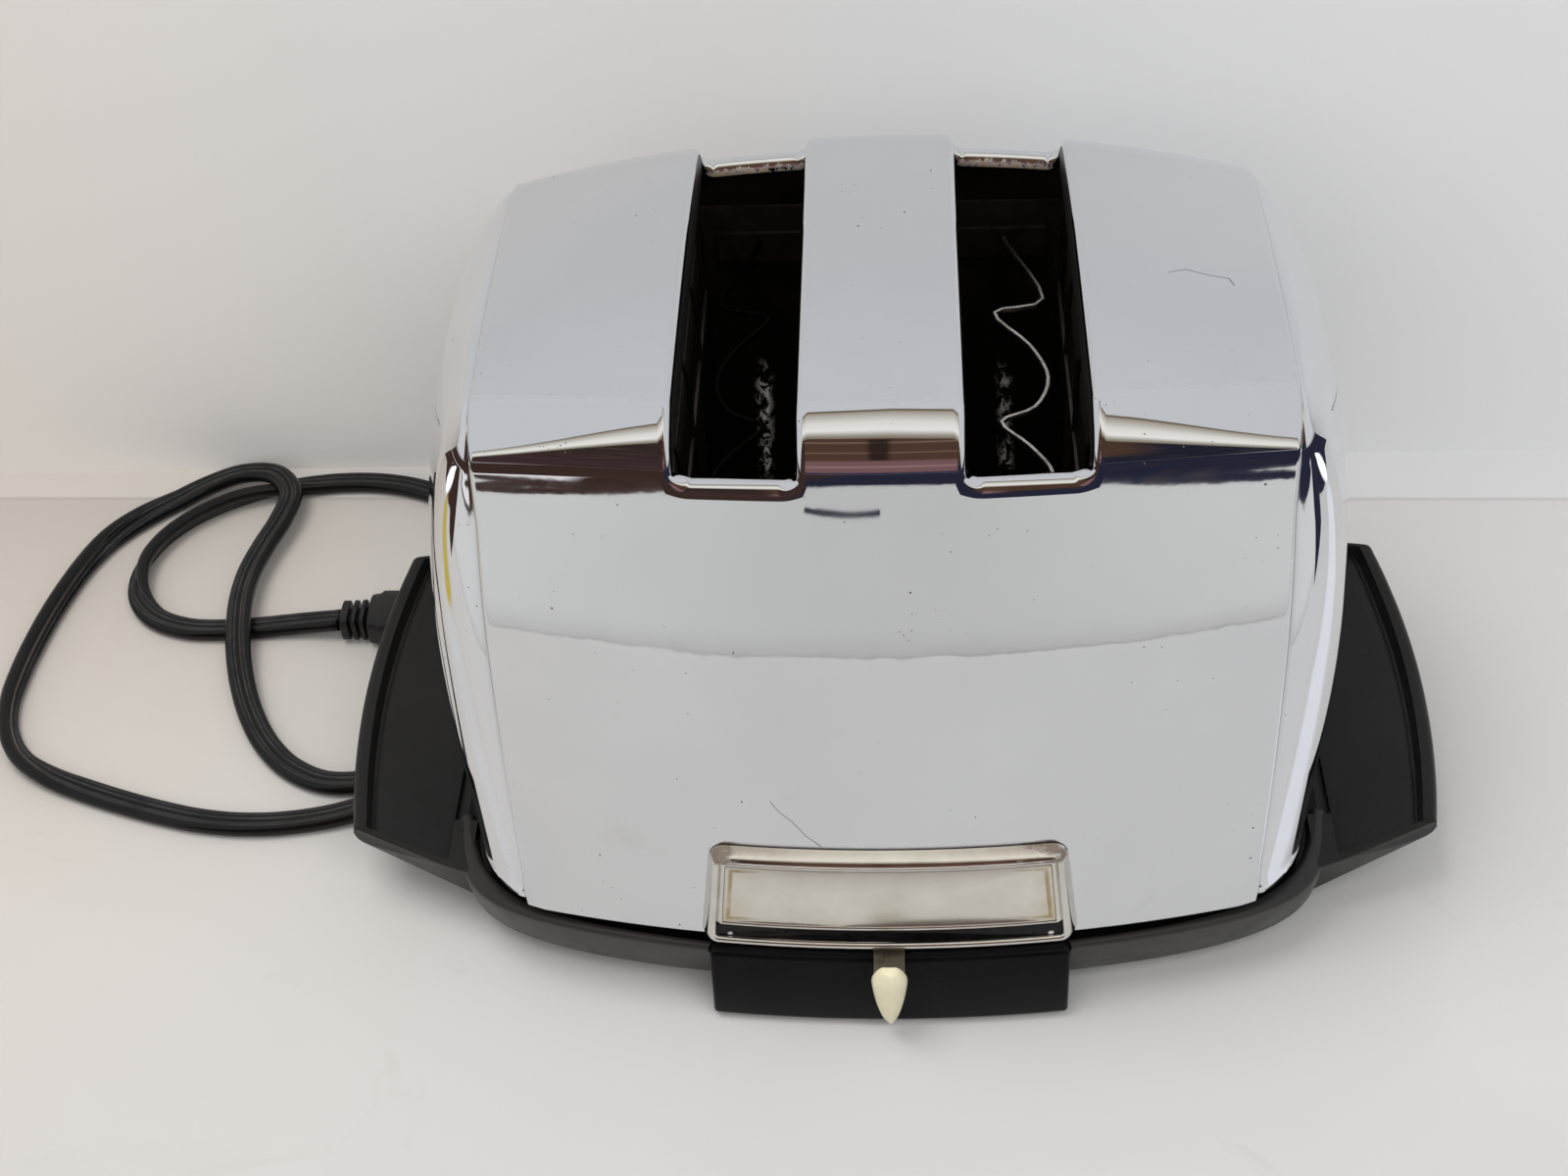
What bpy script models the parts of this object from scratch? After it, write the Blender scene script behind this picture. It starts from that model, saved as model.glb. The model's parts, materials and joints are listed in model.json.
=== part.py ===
"""Two-slot automatic toaster with a bright wrap-over shell, a dark moulded base with handle wings,
a sliding bread carriage, a browning lever under the front plate, a hinged crumb door and a flat cord.

X runs from left to right, Y from the front (negative) to the back, Z up from the table.
Every length below is in millimetres; MM turns it into metres where a mesh is made.
"""
import math

import bmesh
import bpy
from mathutils import Matrix, Vector

MM = 0.001

# ---- driving dimensions, millimetres ----
FRAME_Y = 5.5             # the body's centre plane sits this far behind the origin
SHEET = 0.9               # shell sheet thickness
BAND_HALF = 101.3         # half width of the wrap-over band
BAND_BOTTOM = 29.0        # height of the shell's lower edge
FRONT_Y_LOW = 97.8        # half depth of the shell at its lower edge, on the centre line
FACE_LEAN = 0.19          # how far the faces lean in for each millimetre of height
SHOULDER_Y = 55.15        # centre of the shoulder roll
SHOULDER_Z = 167.74
SHOULDER_R = 16.0
CROWN_Z = 185.3           # top of the crown
PLAN_BOW = 0.00122        # bow of front and back in plan
CROWN_DROP = 5.6          # fall of the crown at the band's edges
SLOT_IN, SLOT_OUT = 20.3, 50.2
SLOT_END = 64.0
SLOT_LIP_FRONT, SLOT_LIP_BACK = 166.5, 171.5      # height of the rolled lips' centres
SLOT_LIP_R = 3.0
COVER_TUCK = 1.3          # how far the covers sit inside the band's surface
COVER_ROLL_LOW, COVER_ROLL_HIGH = 17.3, 9.9
COVER_BOW = 0.0022
BASE_LOW, BASE_TOP = 5.8, 25.5
LEDGE = 21.2              # ledge inside the base that carries the pan
WING_OUT = 160.3
WING_BOW = 0.0017
WING_END = 57.0
WING_TOP = 30.2
BOX_HALF = 49.3           # control housing
BOX_LOW, BOX_TOP = 1.6, 25.5
BADGE_LOW, BADGE_HIGH = 29.0, 58.4
BADGE_HALF_LOW, BADGE_HALF_HIGH = 48.8, 46.2
BADGE_PROUD = 4.0
CARRIAGE_Z = 148.0        # bread rest, raised
CARRIAGE_TRAVEL = 90.0
ROD_Y = 57.0
LIFT_PIVOT = (30.0, 100.0)          # y, z
LIFT_ARM = 84.0                     # pivot to the pin that rides in the carriage's ear
LIFT_PIN_Z = 145.0
CONTROL_PIVOT_Y = 50.0
CONTROL_Z = (26.2, 27.7)
ARM_PIVOT = (-22.0, 40.0)
DOOR_HINGE = (52.5, 5.7)            # y, z
CORD_W, CORD_T = 8.4, 4.6
CORD_Z = 2.45             # centre of the cord where it lies on the table

for old in list(bpy.data.objects):
    bpy.data.objects.remove(old, do_unlink=True)

parts = bpy.data.collections.new("automatic_toaster")
bpy.context.scene.collection.children.link(parts)
cutters = bpy.data.collections.new("cutters")
cutters.hide_render = True
bpy.context.scene.collection.children.link(cutters)


# ---- materials ----
def material(name, colour, roughness, metallic=0.0):
    mat = bpy.data.materials.new(name)
    mat.use_nodes = True
    shader = mat.node_tree.nodes["Principled BSDF"]
    shader.inputs["Base Color"].default_value = (*colour, 1.0)
    shader.inputs["Roughness"].default_value = roughness
    shader.inputs["Metallic"].default_value = metallic
    return mat


CHROME = material("chrome", (0.80, 0.80, 0.80), 0.08, 1.0)
PHENOLIC = material("phenolic", (0.022, 0.021, 0.021), 0.42)
GLOSS_BLACK = material("gloss_black", (0.008, 0.008, 0.009), 0.12)
CHAMPAGNE = material("champagne_plate", (0.66, 0.63, 0.55), 0.36, 1.0)
IVORY = material("ivory", (0.82, 0.76, 0.56), 0.35)
STEEL = material("plated_steel", (0.52, 0.50, 0.47), 0.38, 1.0)
DARK_STEEL = material("dark_steel", (0.05, 0.045, 0.04), 0.55, 1.0)
MICA = material("mica", (0.16, 0.13, 0.09), 0.6)
RUBBER = material("rubber", (0.02, 0.02, 0.02), 0.75)
CERAMIC = material("ceramic", (0.72, 0.69, 0.62), 0.5)
BRASS = material("brass", (0.72, 0.52, 0.24), 0.35, 1.0)


# ---- helpers ----
def add(name, mesh, mat, at=(0, 0, 0), into=None):
    obj = bpy.data.objects.new(name, mesh)
    (into or parts).objects.link(obj)
    obj.location = Vector(at) * MM
    if mat:
        mesh.materials.append(mat)
    if into is cutters:
        obj.hide_render = True
        obj.display_type = "WIRE"
    return obj


def finish_mesh(name, bm):
    bmesh.ops.recalc_face_normals(bm, faces=bm.faces)
    mesh = bpy.data.meshes.new(name)
    bm.to_mesh(mesh)
    bm.free()
    return mesh


def smooth(obj, angle=35.0):
    obj.data.shade_smooth()
    obj.data.set_sharp_from_angle(angle=math.radians(angle))
    return obj


def bevel(obj, width, segments=2):
    mod = obj.modifiers.new("edges", "BEVEL")
    mod.width = width * MM
    mod.segments = segments
    mod.limit_method = "ANGLE"
    mod.angle_limit = math.radians(40)
    return obj


def box(name, low, high, mat, into=None, round_by=0.0, segments=2):
    low, high = Vector(low), Vector(high)
    bm = bmesh.new()
    bmesh.ops.create_cube(bm, size=1.0)
    bmesh.ops.scale(bm, vec=(high - low) * MM, verts=bm.verts)
    obj = add(name, finish_mesh(name, bm), mat, (low + high) / 2, into)
    if round_by:
        bevel(obj, round_by, segments)
    return obj


def rod(name, start, end, radius, mat, into=None, sides=14, radius_end=None):
    start, end = Vector(start), Vector(end)
    axis = end - start
    bm = bmesh.new()
    bmesh.ops.create_cone(bm, cap_ends=True, segments=sides, radius1=radius * MM,
                          radius2=(radius if radius_end is None else radius_end) * MM, depth=axis.length * MM)
    turn = Vector((0, 0, 1)).rotation_difference(axis.normalized()).to_matrix()
    bmesh.ops.rotate(bm, cent=(0, 0, 0), matrix=turn, verts=bm.verts)
    return smooth(add(name, finish_mesh(name, bm), mat, (start + end) / 2, into))


def as_mesh(curve_obj, mat, into=None):
    """The evaluated curve as a mesh with its caps welded; the curve itself goes."""
    bpy.context.view_layer.update()
    graph = bpy.context.evaluated_depsgraph_get()
    name = curve_obj.name
    mesh = bpy.data.meshes.new_from_object(curve_obj.evaluated_get(graph))
    bm = bmesh.new()
    bm.from_mesh(mesh)
    bmesh.ops.remove_doubles(bm, verts=bm.verts, dist=1e-6)
    bmesh.ops.recalc_face_normals(bm, faces=bm.faces)
    bm.to_mesh(mesh)
    bm.free()
    matrix = curve_obj.matrix_world.copy()
    bpy.data.objects.remove(curve_obj, do_unlink=True)
    mesh.materials.clear()
    obj = add(name, mesh, mat, (0, 0, 0), into)
    obj.matrix_world = matrix
    return obj


def wire(name, points, radius, mat, into=None, resolution=1):
    curve = bpy.data.curves.new(name + "_path", "CURVE")
    curve.dimensions = "3D"
    curve.bevel_depth = radius * MM
    curve.bevel_resolution = resolution
    curve.use_fill_caps = True
    spline = curve.splines.new("POLY")
    spline.points.add(len(points) - 1)
    for knot, p in zip(spline.points, points):
        knot.co = (*(Vector(p) * MM), 1.0)
    obj = bpy.data.objects.new(name, curve)
    parts.objects.link(obj)
    return smooth(as_mesh(obj, mat, into))


def combine(obj, other, operation="UNION"):
    mod = obj.modifiers.new(operation.lower(), "BOOLEAN")
    mod.operation = operation
    mod.solver = "EXACT"
    mod.object = other
    return obj


def cut(obj, other):
    return combine(obj, other, "DIFFERENCE")


def through(points, steps):
    """Points along a smooth curve through the given ones."""
    pts = [Vector(p) for p in points]
    pts = [2 * pts[0] - pts[1]] + pts + [2 * pts[-1] - pts[-2]]
    out = []
    for i in range(1, len(pts) - 2):
        a, b, c, d = pts[i - 1:i + 3]
        for s in range(steps):
            t = s / steps
            out.append(0.5 * ((2 * b) + (c - a) * t + (2 * a - 5 * b + 4 * c - d) * t * t
                              + (3 * b - a - 3 * c + d) * t ** 3))
    out.append(pts[-2])
    return out


def pivot(name, at):
    empty = bpy.data.objects.new(name, None)
    empty.empty_display_size = 0.01
    parts.objects.link(empty)
    empty.location = Vector(at) * MM
    return empty


def hang(empty, *pieces):
    for piece in pieces:
        piece.parent = empty
        piece.matrix_parent_inverse = Matrix.Translation(-empty.location)


def grid(name, columns, rows, place, mat, thickness=None, offset=-1.0, into=None, weld=False):
    """A grid primitive wrapped onto a surface: place(i, j) gives each point."""
    bm = bmesh.new()
    bmesh.ops.create_grid(bm, x_segments=columns, y_segments=rows, size=1.0)
    for v in bm.verts:
        i = round((v.co.x + 1) / 2 * columns)
        j = round((v.co.y + 1) / 2 * rows)
        v.co = Vector(place(i, j)) * MM
    if weld:
        bmesh.ops.remove_doubles(bm, verts=bm.verts, dist=1e-5)
    obj = add(name, finish_mesh(name, bm), mat, (0, 0, 0), into)
    if thickness:
        mod = obj.modifiers.new("sheet", "SOLIDIFY")
        mod.thickness = thickness * MM
        mod.offset = offset
    return smooth(obj)


def loft(name, loops, mat, into=None):
    """Closed loops of equal count joined in order and capped."""
    bm = bmesh.new()
    rings = [[bm.verts.new(Vector(p) * MM) for p in loop] for loop in loops]
    count = len(rings[0])
    for low, high in zip(rings, rings[1:]):
        for i in range(count):
            k = (i + 1) % count
            bm.faces.new((low[i], low[k], high[k], high[i]))
    bm.faces.new(rings[0][::-1])
    bm.faces.new(rings[-1])
    return add(name, finish_mesh(name, bm), mat, (0, 0, 0), into)


# ---- the shell's surface ----
def band_profile(face_steps, arc_steps, crown_steps):
    """(y, z, ny, nz) from the front lower edge over the crown to the back lower edge, on the centre line."""
    lean = math.atan(FACE_LEAN)
    n = (-math.cos(lean), math.sin(lean))
    tangent = (-SHOULDER_Y + SHOULDER_R * n[0], SHOULDER_Z + SHOULDER_R * n[1])
    crown_fall = (CROWN_Z - (SHOULDER_Z + SHOULDER_R)) / SHOULDER_Y ** 2
    tilt = 2 * crown_fall * SHOULDER_Y
    half = []
    for i in range(face_steps):
        z = BAND_BOTTOM + (tangent[1] - BAND_BOTTOM) * i / face_steps
        half.append((tangent[0] - FACE_LEAN * (tangent[1] - z), z, n[0], n[1]))
    first, last = math.atan2(n[1], n[0]), math.pi / 2 + tilt
    for i in range(arc_steps + 1):
        a = first + (last - first) * i / arc_steps
        half.append((-SHOULDER_Y + SHOULDER_R * math.cos(a), SHOULDER_Z + SHOULDER_R * math.sin(a),
                     math.cos(a), math.sin(a)))
    y0 = half[-1][0]
    for i in range(1, crown_steps // 2 + 1):
        y = y0 * (1 - i / (crown_steps / 2))
        half.append((y, CROWN_Z - crown_fall * y * y, 2 * crown_fall * y, 1.0))
    return half + [(-y, z, -ny, nz) for y, z, ny, nz in half[-2::-1]]


def crown_drop(x):
    return CROWN_DROP * (abs(x) / BAND_HALF) ** 3


def bowed(x, y, z):
    """The profile point carried out to x, with the bow in plan and the fall of the crown."""
    side = -1 if y < 0 else 1
    y -= side * PLAN_BOW * x * x * min(1.0, abs(y) / SHOULDER_Y)
    rise = min(1.0, max(0.0, (z - BAND_BOTTOM) / (SHOULDER_Z - BAND_BOTTOM)))
    return x, y, z - crown_drop(x) * rise


def band_half(z):
    """The band's edge swells a little at mid height."""
    fall = 0.00033 if z < 110 else 0.00075
    return BAND_HALF + max(-0.5 if z < 110 else 0.0, 1.5 - fall * (z - 110) ** 2)


def face_y(x, z):
    """Front face of the shell at height z."""
    lean = math.atan(FACE_LEAN)
    top = (-SHOULDER_Y - SHOULDER_R * math.cos(lean), SHOULDER_Z + SHOULDER_R * math.sin(lean))
    return top[0] - FACE_LEAN * (top[1] - z) + PLAN_BOW * x * x


PROFILE = band_profile(3, 6, 6)
ROWS = len(PROFILE) - 1
band_x = [-BAND_HALF, -88, -74, -62, -SLOT_OUT, -35, -SLOT_IN, -10, 0,
          10, SLOT_IN, 35, SLOT_OUT, 62, 74, 88, BAND_HALF]


def band_point(i, j):
    x = band_x[i]
    if abs(x) == BAND_HALF:
        x = math.copysign(band_half(PROFILE[j][1]), x)
    return bowed(x, PROFILE[j][0], PROFILE[j][1])


shell = grid("shell_band", len(band_x) - 1, ROWS, band_point, CHROME, SHEET)

for side, tag in ((-1, "left"), (1, "right")):
    lo, hi = sorted((side * SLOT_IN, side * SLOT_OUT))
    mouth = box("mouth_" + tag, (lo, -SLOT_END, 140), (hi, SLOT_END, 200), None, cutters)
    cut(shell, mouth)
    cut(shell, box("notch_front_" + tag, (lo, -95, SLOT_LIP_FRONT), (hi, -60, 200), None, cutters))
    cut(shell, box("notch_back_" + tag, (lo, 60, SLOT_LIP_BACK), (hi, 95, 200), None, cutters))
for side, tag in ((-1, "left"), (1, "right")):
    for end, word in ((-1, "front"), (1, "back")):
        pts = []
        height = SLOT_LIP_FRONT if end < 0 else SLOT_LIP_BACK
        for x in (SLOT_IN - 0.7, 30, 40, SLOT_OUT + 0.7):
            y = face_y(x, height) + SLOT_LIP_R - 0.05
            pts.append((side * x, y if end < 0 else -y, height))
        combine(shell, wire(f"lip_{word}_{tag}", pts, SLOT_LIP_R, None, cutters, 2))
        inner = abs(pts[1][1]) - SLOT_LIP_R + 0.4
        lo, hi = sorted((end * (inner - 0.5), end * (inner + 0.5)))
        combine(shell, box(f"lip_fall_{word}_{tag}", (min(side * SLOT_IN, side * SLOT_OUT) - 0.4, lo, height - 6.0),
                           (max(side * SLOT_IN, side * SLOT_OUT) + 0.4, hi, height + 0.6), None, cutters))
    for x, word in ((SLOT_IN - 0.55, "inner"), (SLOT_OUT + 0.55, "outer")):
        def flange(i, j, x=x, side=side):
            y = -65 + 130 * j / 10
            across = abs(y) + PLAN_BOW * x * x * min(1.0, abs(y) / SHOULDER_Y)
            if across < SHOULDER_Y:
                z = CROWN_Z - (CROWN_Z - SHOULDER_Z - SHOULDER_R) * (across / SHOULDER_Y) ** 2 - 0.45
            else:
                rise = math.sqrt(SHOULDER_R ** 2 - (across - SHOULDER_Y) ** 2)
                z = SHOULDER_Z + rise - 0.45 * SHOULDER_R / rise
            return side * x, y, z - crown_drop(x) if i else 171.0
        combine(shell, grid(f"turn_down_{word}_{tag}", 1, 10, flange, None, SHEET - 0.1, 0.0, cutters))


# ---- end covers ----
SIDE_Z = (30.0, 60.0, 100.0, 140.0, 178.0)
SIDE_X = (124.3, 125.3, 125.4, 120.9, 109.5)


def cover_side(y, z):
    """Half width of the covers: a smooth bulge through a few heights, bowed in plan."""
    z = min(max(z, SIDE_Z[0]), SIDE_Z[-1])
    total = 0.0
    for i, zi in enumerate(SIDE_Z):
        term = SIDE_X[i]
        for k, zk in enumerate(SIDE_Z):
            if k != i:
                term *= (z - zk) / (zi - zk)
        total += term
    return total - COVER_BOW * y * y


def cover_point(side, ring, j, rings):
    y, z, ny, nz = PROFILE[j]
    rolls = 6
    _, yb, zb = bowed(BAND_HALF, y, z)
    rise = min(1.0, max(0.0, (zb - 30.0) / 140.0))
    roll = COVER_ROLL_LOW + (COVER_ROLL_HIGH - COVER_ROLL_LOW) * rise
    a = math.pi / 2 * min(max(ring - 1, 0), rolls) / rolls
    inset = COVER_TUCK + roll * (1 - math.cos(a))
    ys, zs = yb - ny * inset, max(zb - nz * inset, 30.0)
    start = band_half(z)
    if ring == 0:
        x = 95.5
    else:
        x = start + (cover_side(ys, zs) - start) * math.sin(a)
    if ring - 1 > rolls:
        pull = (ring - 1 - rolls) / (rings - 1 - rolls)
        ys, zs = ys * (1 - pull), 30.0 + (zs - 30.0) * (1 - 0.15 * pull)
        x = cover_side(ys, zs)
    return side * x, ys, zs


RINGS = 10
for side, tag in ((-1, "left"), (1, "right")):
    grid("end_cover_" + tag, RINGS, ROWS, lambda i, j, side=side: cover_point(side, i, j, RINGS),
         CHROME, SHEET, -1.0, weld=True)


# ---- dark moulded base with its two wings ----
QUADRANT = [0, 12, 22, 28, 31.5, 34, 36.5, 39, 41.5, 45, 50, 57, 66, 75, 83]
ANGLES = QUADRANT + [90] + [180 - a for a in QUADRANT[:0:-1]]
ANGLES = ANGLES + [a + 180 for a in ANGLES]


def outline(z, half_x, bow_x, half_y, bow_y, power):
    """Rounded four-sided loop with bowed sides, found along fixed directions."""
    loop = []
    for degrees in ANGLES:
        c, s = math.cos(math.radians(degrees)), math.sin(math.radians(degrees))
        near, far = 0.0, 200.0
        for _ in range(40):
            r = (near + far) / 2
            x, y = abs(r * c), abs(r * s)
            value = (x / (half_x - bow_x * y * y)) ** power + (y / max(1.0, half_y - bow_y * x * x)) ** power
            near, far = (r, far) if value < 1 else (near, r)
        loop.append((near * c, near * s, z))
    return loop


base = loft("base_moulding", [outline(BASE_LOW, 126.5, 0.0005, 94.0, 0.00126, 8.6),
                              outline(8.0, 127.0, 0.0006, 95.2, 0.00126, 9),
                              outline(23.8, 127.8, 0.0010, 100.4, 0.00136, 12),
                              outline(BASE_TOP, 126.4, 0.0011, 99.6, 0.00137, 12)], PHENOLIC)
bore = loft("base_inside", [outline(0.0, 119.0, 0.0012, 89.4, 0.0014, 9),
                            outline(40.0, 119.0, 0.0012, 89.4, 0.0014, 9)], None, cutters)
rabbet = loft("base_rabbet", [outline(LEDGE, 123.6, 0.00126, 96.8, 0.00137, 12),
                              outline(BASE_TOP, 124.4, 0.00126, 97.9, 0.00137, 12.3),
                              outline(40.0, 126.0, 0.00126, 100.5, 0.00137, 12.3)], None, cutters)


def wing_out(y):
    return WING_OUT - WING_BOW * y * y


def wing_loops(side):
    loops = []
    for step in range(9):
        y = -WING_END + 2 * WING_END * step / 8
        end = abs(y) / WING_END
        out = wing_out(y)
        root_shift = 5.0 * (1 if y > 0 else -1) * (1 if abs(y) > WING_END - 1 else 0)
        loops.append([(side * 121.0, y + root_shift, BASE_LOW + 0.6), (side * (out - 4.0), y, 23.2),
                      (side * (out - 0.8), y, 24.6), (side * out, y, 27.0), (side * (out - 0.8), y, WING_TOP - 0.3),
                      (side * (out - 2.2), y, WING_TOP), (side * 121.0, y + root_shift, 22.6)])
    return loops


def recess_loops(side):
    loops = []
    for z_in, z_out, grow in ((19.6, 26.0, 0.0), (34.0, 40.0, 1.5)):
        inner, ends, count = 128.0, 53.0, 10
        loop = []
        for k in range(count + 1):
            y = -ends + 2 * ends * k / count
            loop.append((wing_out(y) - 5.2 + grow * 0.6, y * (1 + grow * 0.004), z_out))
        for y in (ends + 3.5, 18.0, 0.0, -18.0, -ends - 3.5):
            loop.append((inner - grow * 0.3, y * (1 + grow * 0.004), z_in))
        loops.append([(side * x, y, z) for x, y, z in loop])
    return loops


cut(base, bore)
cut(base, rabbet)
cut(base, box("pan_channel", (-140, -50.6, LEDGE - 0.3), (140, 50.5, 50), None, cutters))
for side, tag in ((-1, "left"), (1, "right")):
    wing = loft("wing_" + tag, wing_loops(side), None, cutters)
    cut(wing, loft("wing_recess_" + tag, recess_loops(side), None, cutters))
    lo, hi = sorted((side * 110.0, side * 126.2))
    cut(wing, box("wing_channel_" + tag, (lo, -50.6, LEDGE - 0.25), (hi, 50.5, 50), None, cutters))
    combine(base, wing)
BOSSES = [(sx * 107.0, sy * 61.0) for sx in (-1, 1) for sy in (-1, 1)]
for n, (x, y) in enumerate(BOSSES):
    combine(base, rod(f"boss_{n}", (x, y, 9.6), (x, y, 20.9), 9.0, None, cutters, 12))
for n, (x, y) in enumerate(BOSSES):
    cut(base, rod(f"boss_hole_{n}", (x, y, 5.0), (x, y, 18.0), 1.9, None, cutters, 8))
cut(base, box("housing_notch", (-BOX_HALF - 0.6, -115, 0), (BOX_HALF + 0.6, -86, 40), None, cutters))
cut(base, box("cord_notch", (-146.5, -31.5, -2), (-112, -16.5, 14.8), None, cutters))
smooth(base, 30)

# ---- gloss pan on the ledge, just under the shell ----
pan = loft("base_pan", [outline(LEDGE + 0.3, 123.0, 0.00126, 96.3, 0.00137, 12),
                        outline(LEDGE + 1.4, 123.1, 0.00126, 96.4, 0.00137, 12)], GLOSS_BLACK)
for side, tag in ((-1, "left"), (1, "right")):
    lo, hi = sorted((side * 118.0, side * 125.7))
    combine(pan, box("pan_wing_" + tag, (lo, -50.1, LEDGE + 0.35), (hi, 50.1, LEDGE + 1.35), None, cutters))
combine(pan, loft("pan_wall", [outline(LEDGE + 0.7, 121.8, 0.0022, 94.9, 0.00137, 9),
                               outline(28.3, 121.8, 0.0022, 94.9, 0.00137, 9)], None, cutters))
cut(pan, loft("pan_hole", [outline(LEDGE - 5, 120.3, 0.0022, 93.4, 0.00137, 9),
                           outline(LEDGE + 20, 120.3, 0.0022, 93.4, 0.00137, 9)], None, cutters))
cut(pan, box("pan_front_gap", (-BOX_HALF - 0.7, -120, 10), (BOX_HALF + 0.7, -80, 40), None, cutters))
smooth(pan, 30)

# ---- gloss control housing at the front ----
def housing_loop(z, front, back, half, bow):
    pts = [(half * (-1 + 2 * k / 8), -front + bow * (half * (-1 + 2 * k / 8)) ** 2, z) for k in range(9)]
    return pts + [(half, -back, z), (-half, -back, z)]


housing = loft("control_housing", [housing_loop(BOX_LOW, 103.6, 88.0, BOX_HALF - 1.2, 0.00115),
                                   housing_loop(BOX_LOW + 1.2, 105.0, 88.0, BOX_HALF, 0.00115),
                                   housing_loop(BOX_TOP - 1.0, 101.6, 88.0, BOX_HALF, 0.00115),
                                   housing_loop(BOX_TOP, 100.6, 88.0, BOX_HALF - 1.0, 0.00115)], GLOSS_BLACK)
cut(housing, box("housing_inside", (-46.5, -97.6, 4.4), (46.5, -80, 22.8), None, cutters))
smooth(housing, 30)


# ---- front plate: bezel, bare plate and scale strip ----
def badge_half(z):
    return BADGE_HALF_LOW + (BADGE_HALF_HIGH - BADGE_HALF_LOW) * (z - BADGE_LOW) / (BADGE_HIGH - BADGE_LOW)


def badge_slab(name, low, high, inset, back, front, mat, into=None, corner=0.0, flare=0.0):
    """A closed slab along the shell's face: rows of points at two depths, with rounded corners and flared sides."""
    columns = 12
    steps = [0.0, 0.15, 0.5, 1.0]
    heights = [low + corner * t for t in steps] + [high - corner * t for t in steps[::-1]] if corner else [low, high]

    def point(i, z, proud, spread):
        near = min(z - low, high - z)
        trim = corner - math.sqrt(max(0.0, corner ** 2 - (corner - near) ** 2)) if near < corner else 0.0
        x = (badge_half(z) - inset + spread - trim) * (-1 + 2 * i / columns)
        return Vector((x, face_y(x, z) - proud, z)) * MM

    bm = bmesh.new()
    layers = [[[bm.verts.new(point(i, z, proud, spread)) for i in range(columns + 1)] for z in heights]
              for proud, spread in ((back, flare), (front, 0.0))]
    rows = len(heights) - 1
    for layer in layers:
        for j in range(rows):
            for i in range(columns):
                bm.faces.new((layer[j][i], layer[j][i + 1], layer[j + 1][i + 1], layer[j + 1][i]))
    back_layer, front_layer = layers
    for j in range(rows):
        for i in (0, columns):
            bm.faces.new((back_layer[j][i], back_layer[j + 1][i], front_layer[j + 1][i], front_layer[j][i]))
    for i in range(columns):
        for j in (0, rows):
            bm.faces.new((back_layer[j][i], back_layer[j][i + 1], front_layer[j][i + 1], front_layer[j][i]))
    return smooth(add(name, finish_mesh(name, bm), mat, (0, 0, 0), into), 30)


bezel = badge_slab("badge_bezel", BADGE_LOW, BADGE_HIGH, 0.0, 0.35, BADGE_PROUD, CHROME, corner=2.6, flare=2.0)
cut(bezel, badge_slab("plate_pocket", 36.1, 54.9, 3.2, 1.9, 9.0, None, cutters))
cut(bezel, badge_slab("strip_pocket", 30.2, 35.1, 1.5, 2.2, 9.0, None, cutters))
badge_slab("badge_plate", 36.4, 54.6, 3.5, 2.2, 3.1, CHAMPAGNE)
badge_slab("scale_strip", 30.5, 34.8, 1.8, 2.5, 3.3, GLOSS_BLACK)

# ---- browning lever, its knob and pivot ----
PIVOT_Y = CONTROL_PIVOT_Y
lever = box("control_lever", (-4.2, -106.9, CONTROL_Z[0]), (4.2, PIVOT_Y + 6, CONTROL_Z[1]), STEEL)
combine(lever, box("lever_tab", (-3.9, -106.85, 17.0), (3.9, -105.7, CONTROL_Z[0] + 0.5), None, cutters))
combine(lever, box("lever_ear", (-24.5, -2.5, CONTROL_Z[0]), (0, 2.5, CONTROL_Z[1]), None, cutters))
combine(lever, rod("lever_peg", (ARM_PIVOT[0], 0, 22.8), (ARM_PIVOT[0], 0, CONTROL_Z[1] - 0.4), 1.0, None, cutters, 10))
cut(lever, rod("lever_eye", (0, PIVOT_Y, 20), (0, PIVOT_Y, 34), 2.9, None, cutters, 16))
knob_sections = []
for z, w, front in ((5.9, 1.0, 1.6), (7.2, 1.8, 2.4), (9.4, 2.5, 3.1), (13.4, 3.5, 3.7), (18.0, 4.3, 4.1),
                    (23.9, 4.85, 4.2), (28.6, 2.2, 3.4), (29.3, 1.5, 2.7)):
    y = -107.2
    knob_sections.append([(-w, y, z), (w, y, z), (w, y - front * 0.4, z), (w * 0.72, y - front * 0.8, z),
                          (w * 0.22, y - front, z), (-w * 0.4, y - front * 0.95, z), (-w * 0.8, y - front * 0.7, z),
                          (-w, y - front * 0.4, z)])
knob = smooth(loft("control_knob", knob_sections, IVORY), 50)
control = pivot("control_axis", (0, PIVOT_Y, CONTROL_Z[0]))
rod("control_pivot_pin", (0, PIVOT_Y, 9.6), (0, PIVOT_Y, 30.0), 2.5, STEEL, sides=16)
rod_head = box("control_spacer", (-6, PIVOT_Y - 6, 20.2), (6, PIVOT_Y + 6, 25.8), BRASS)
cut(rod_head, rod("spacer_bore", (0, PIVOT_Y, 18), (0, PIVOT_Y, 28), 2.9, None, cutters, 16))
hang(control, lever, knob)

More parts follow.
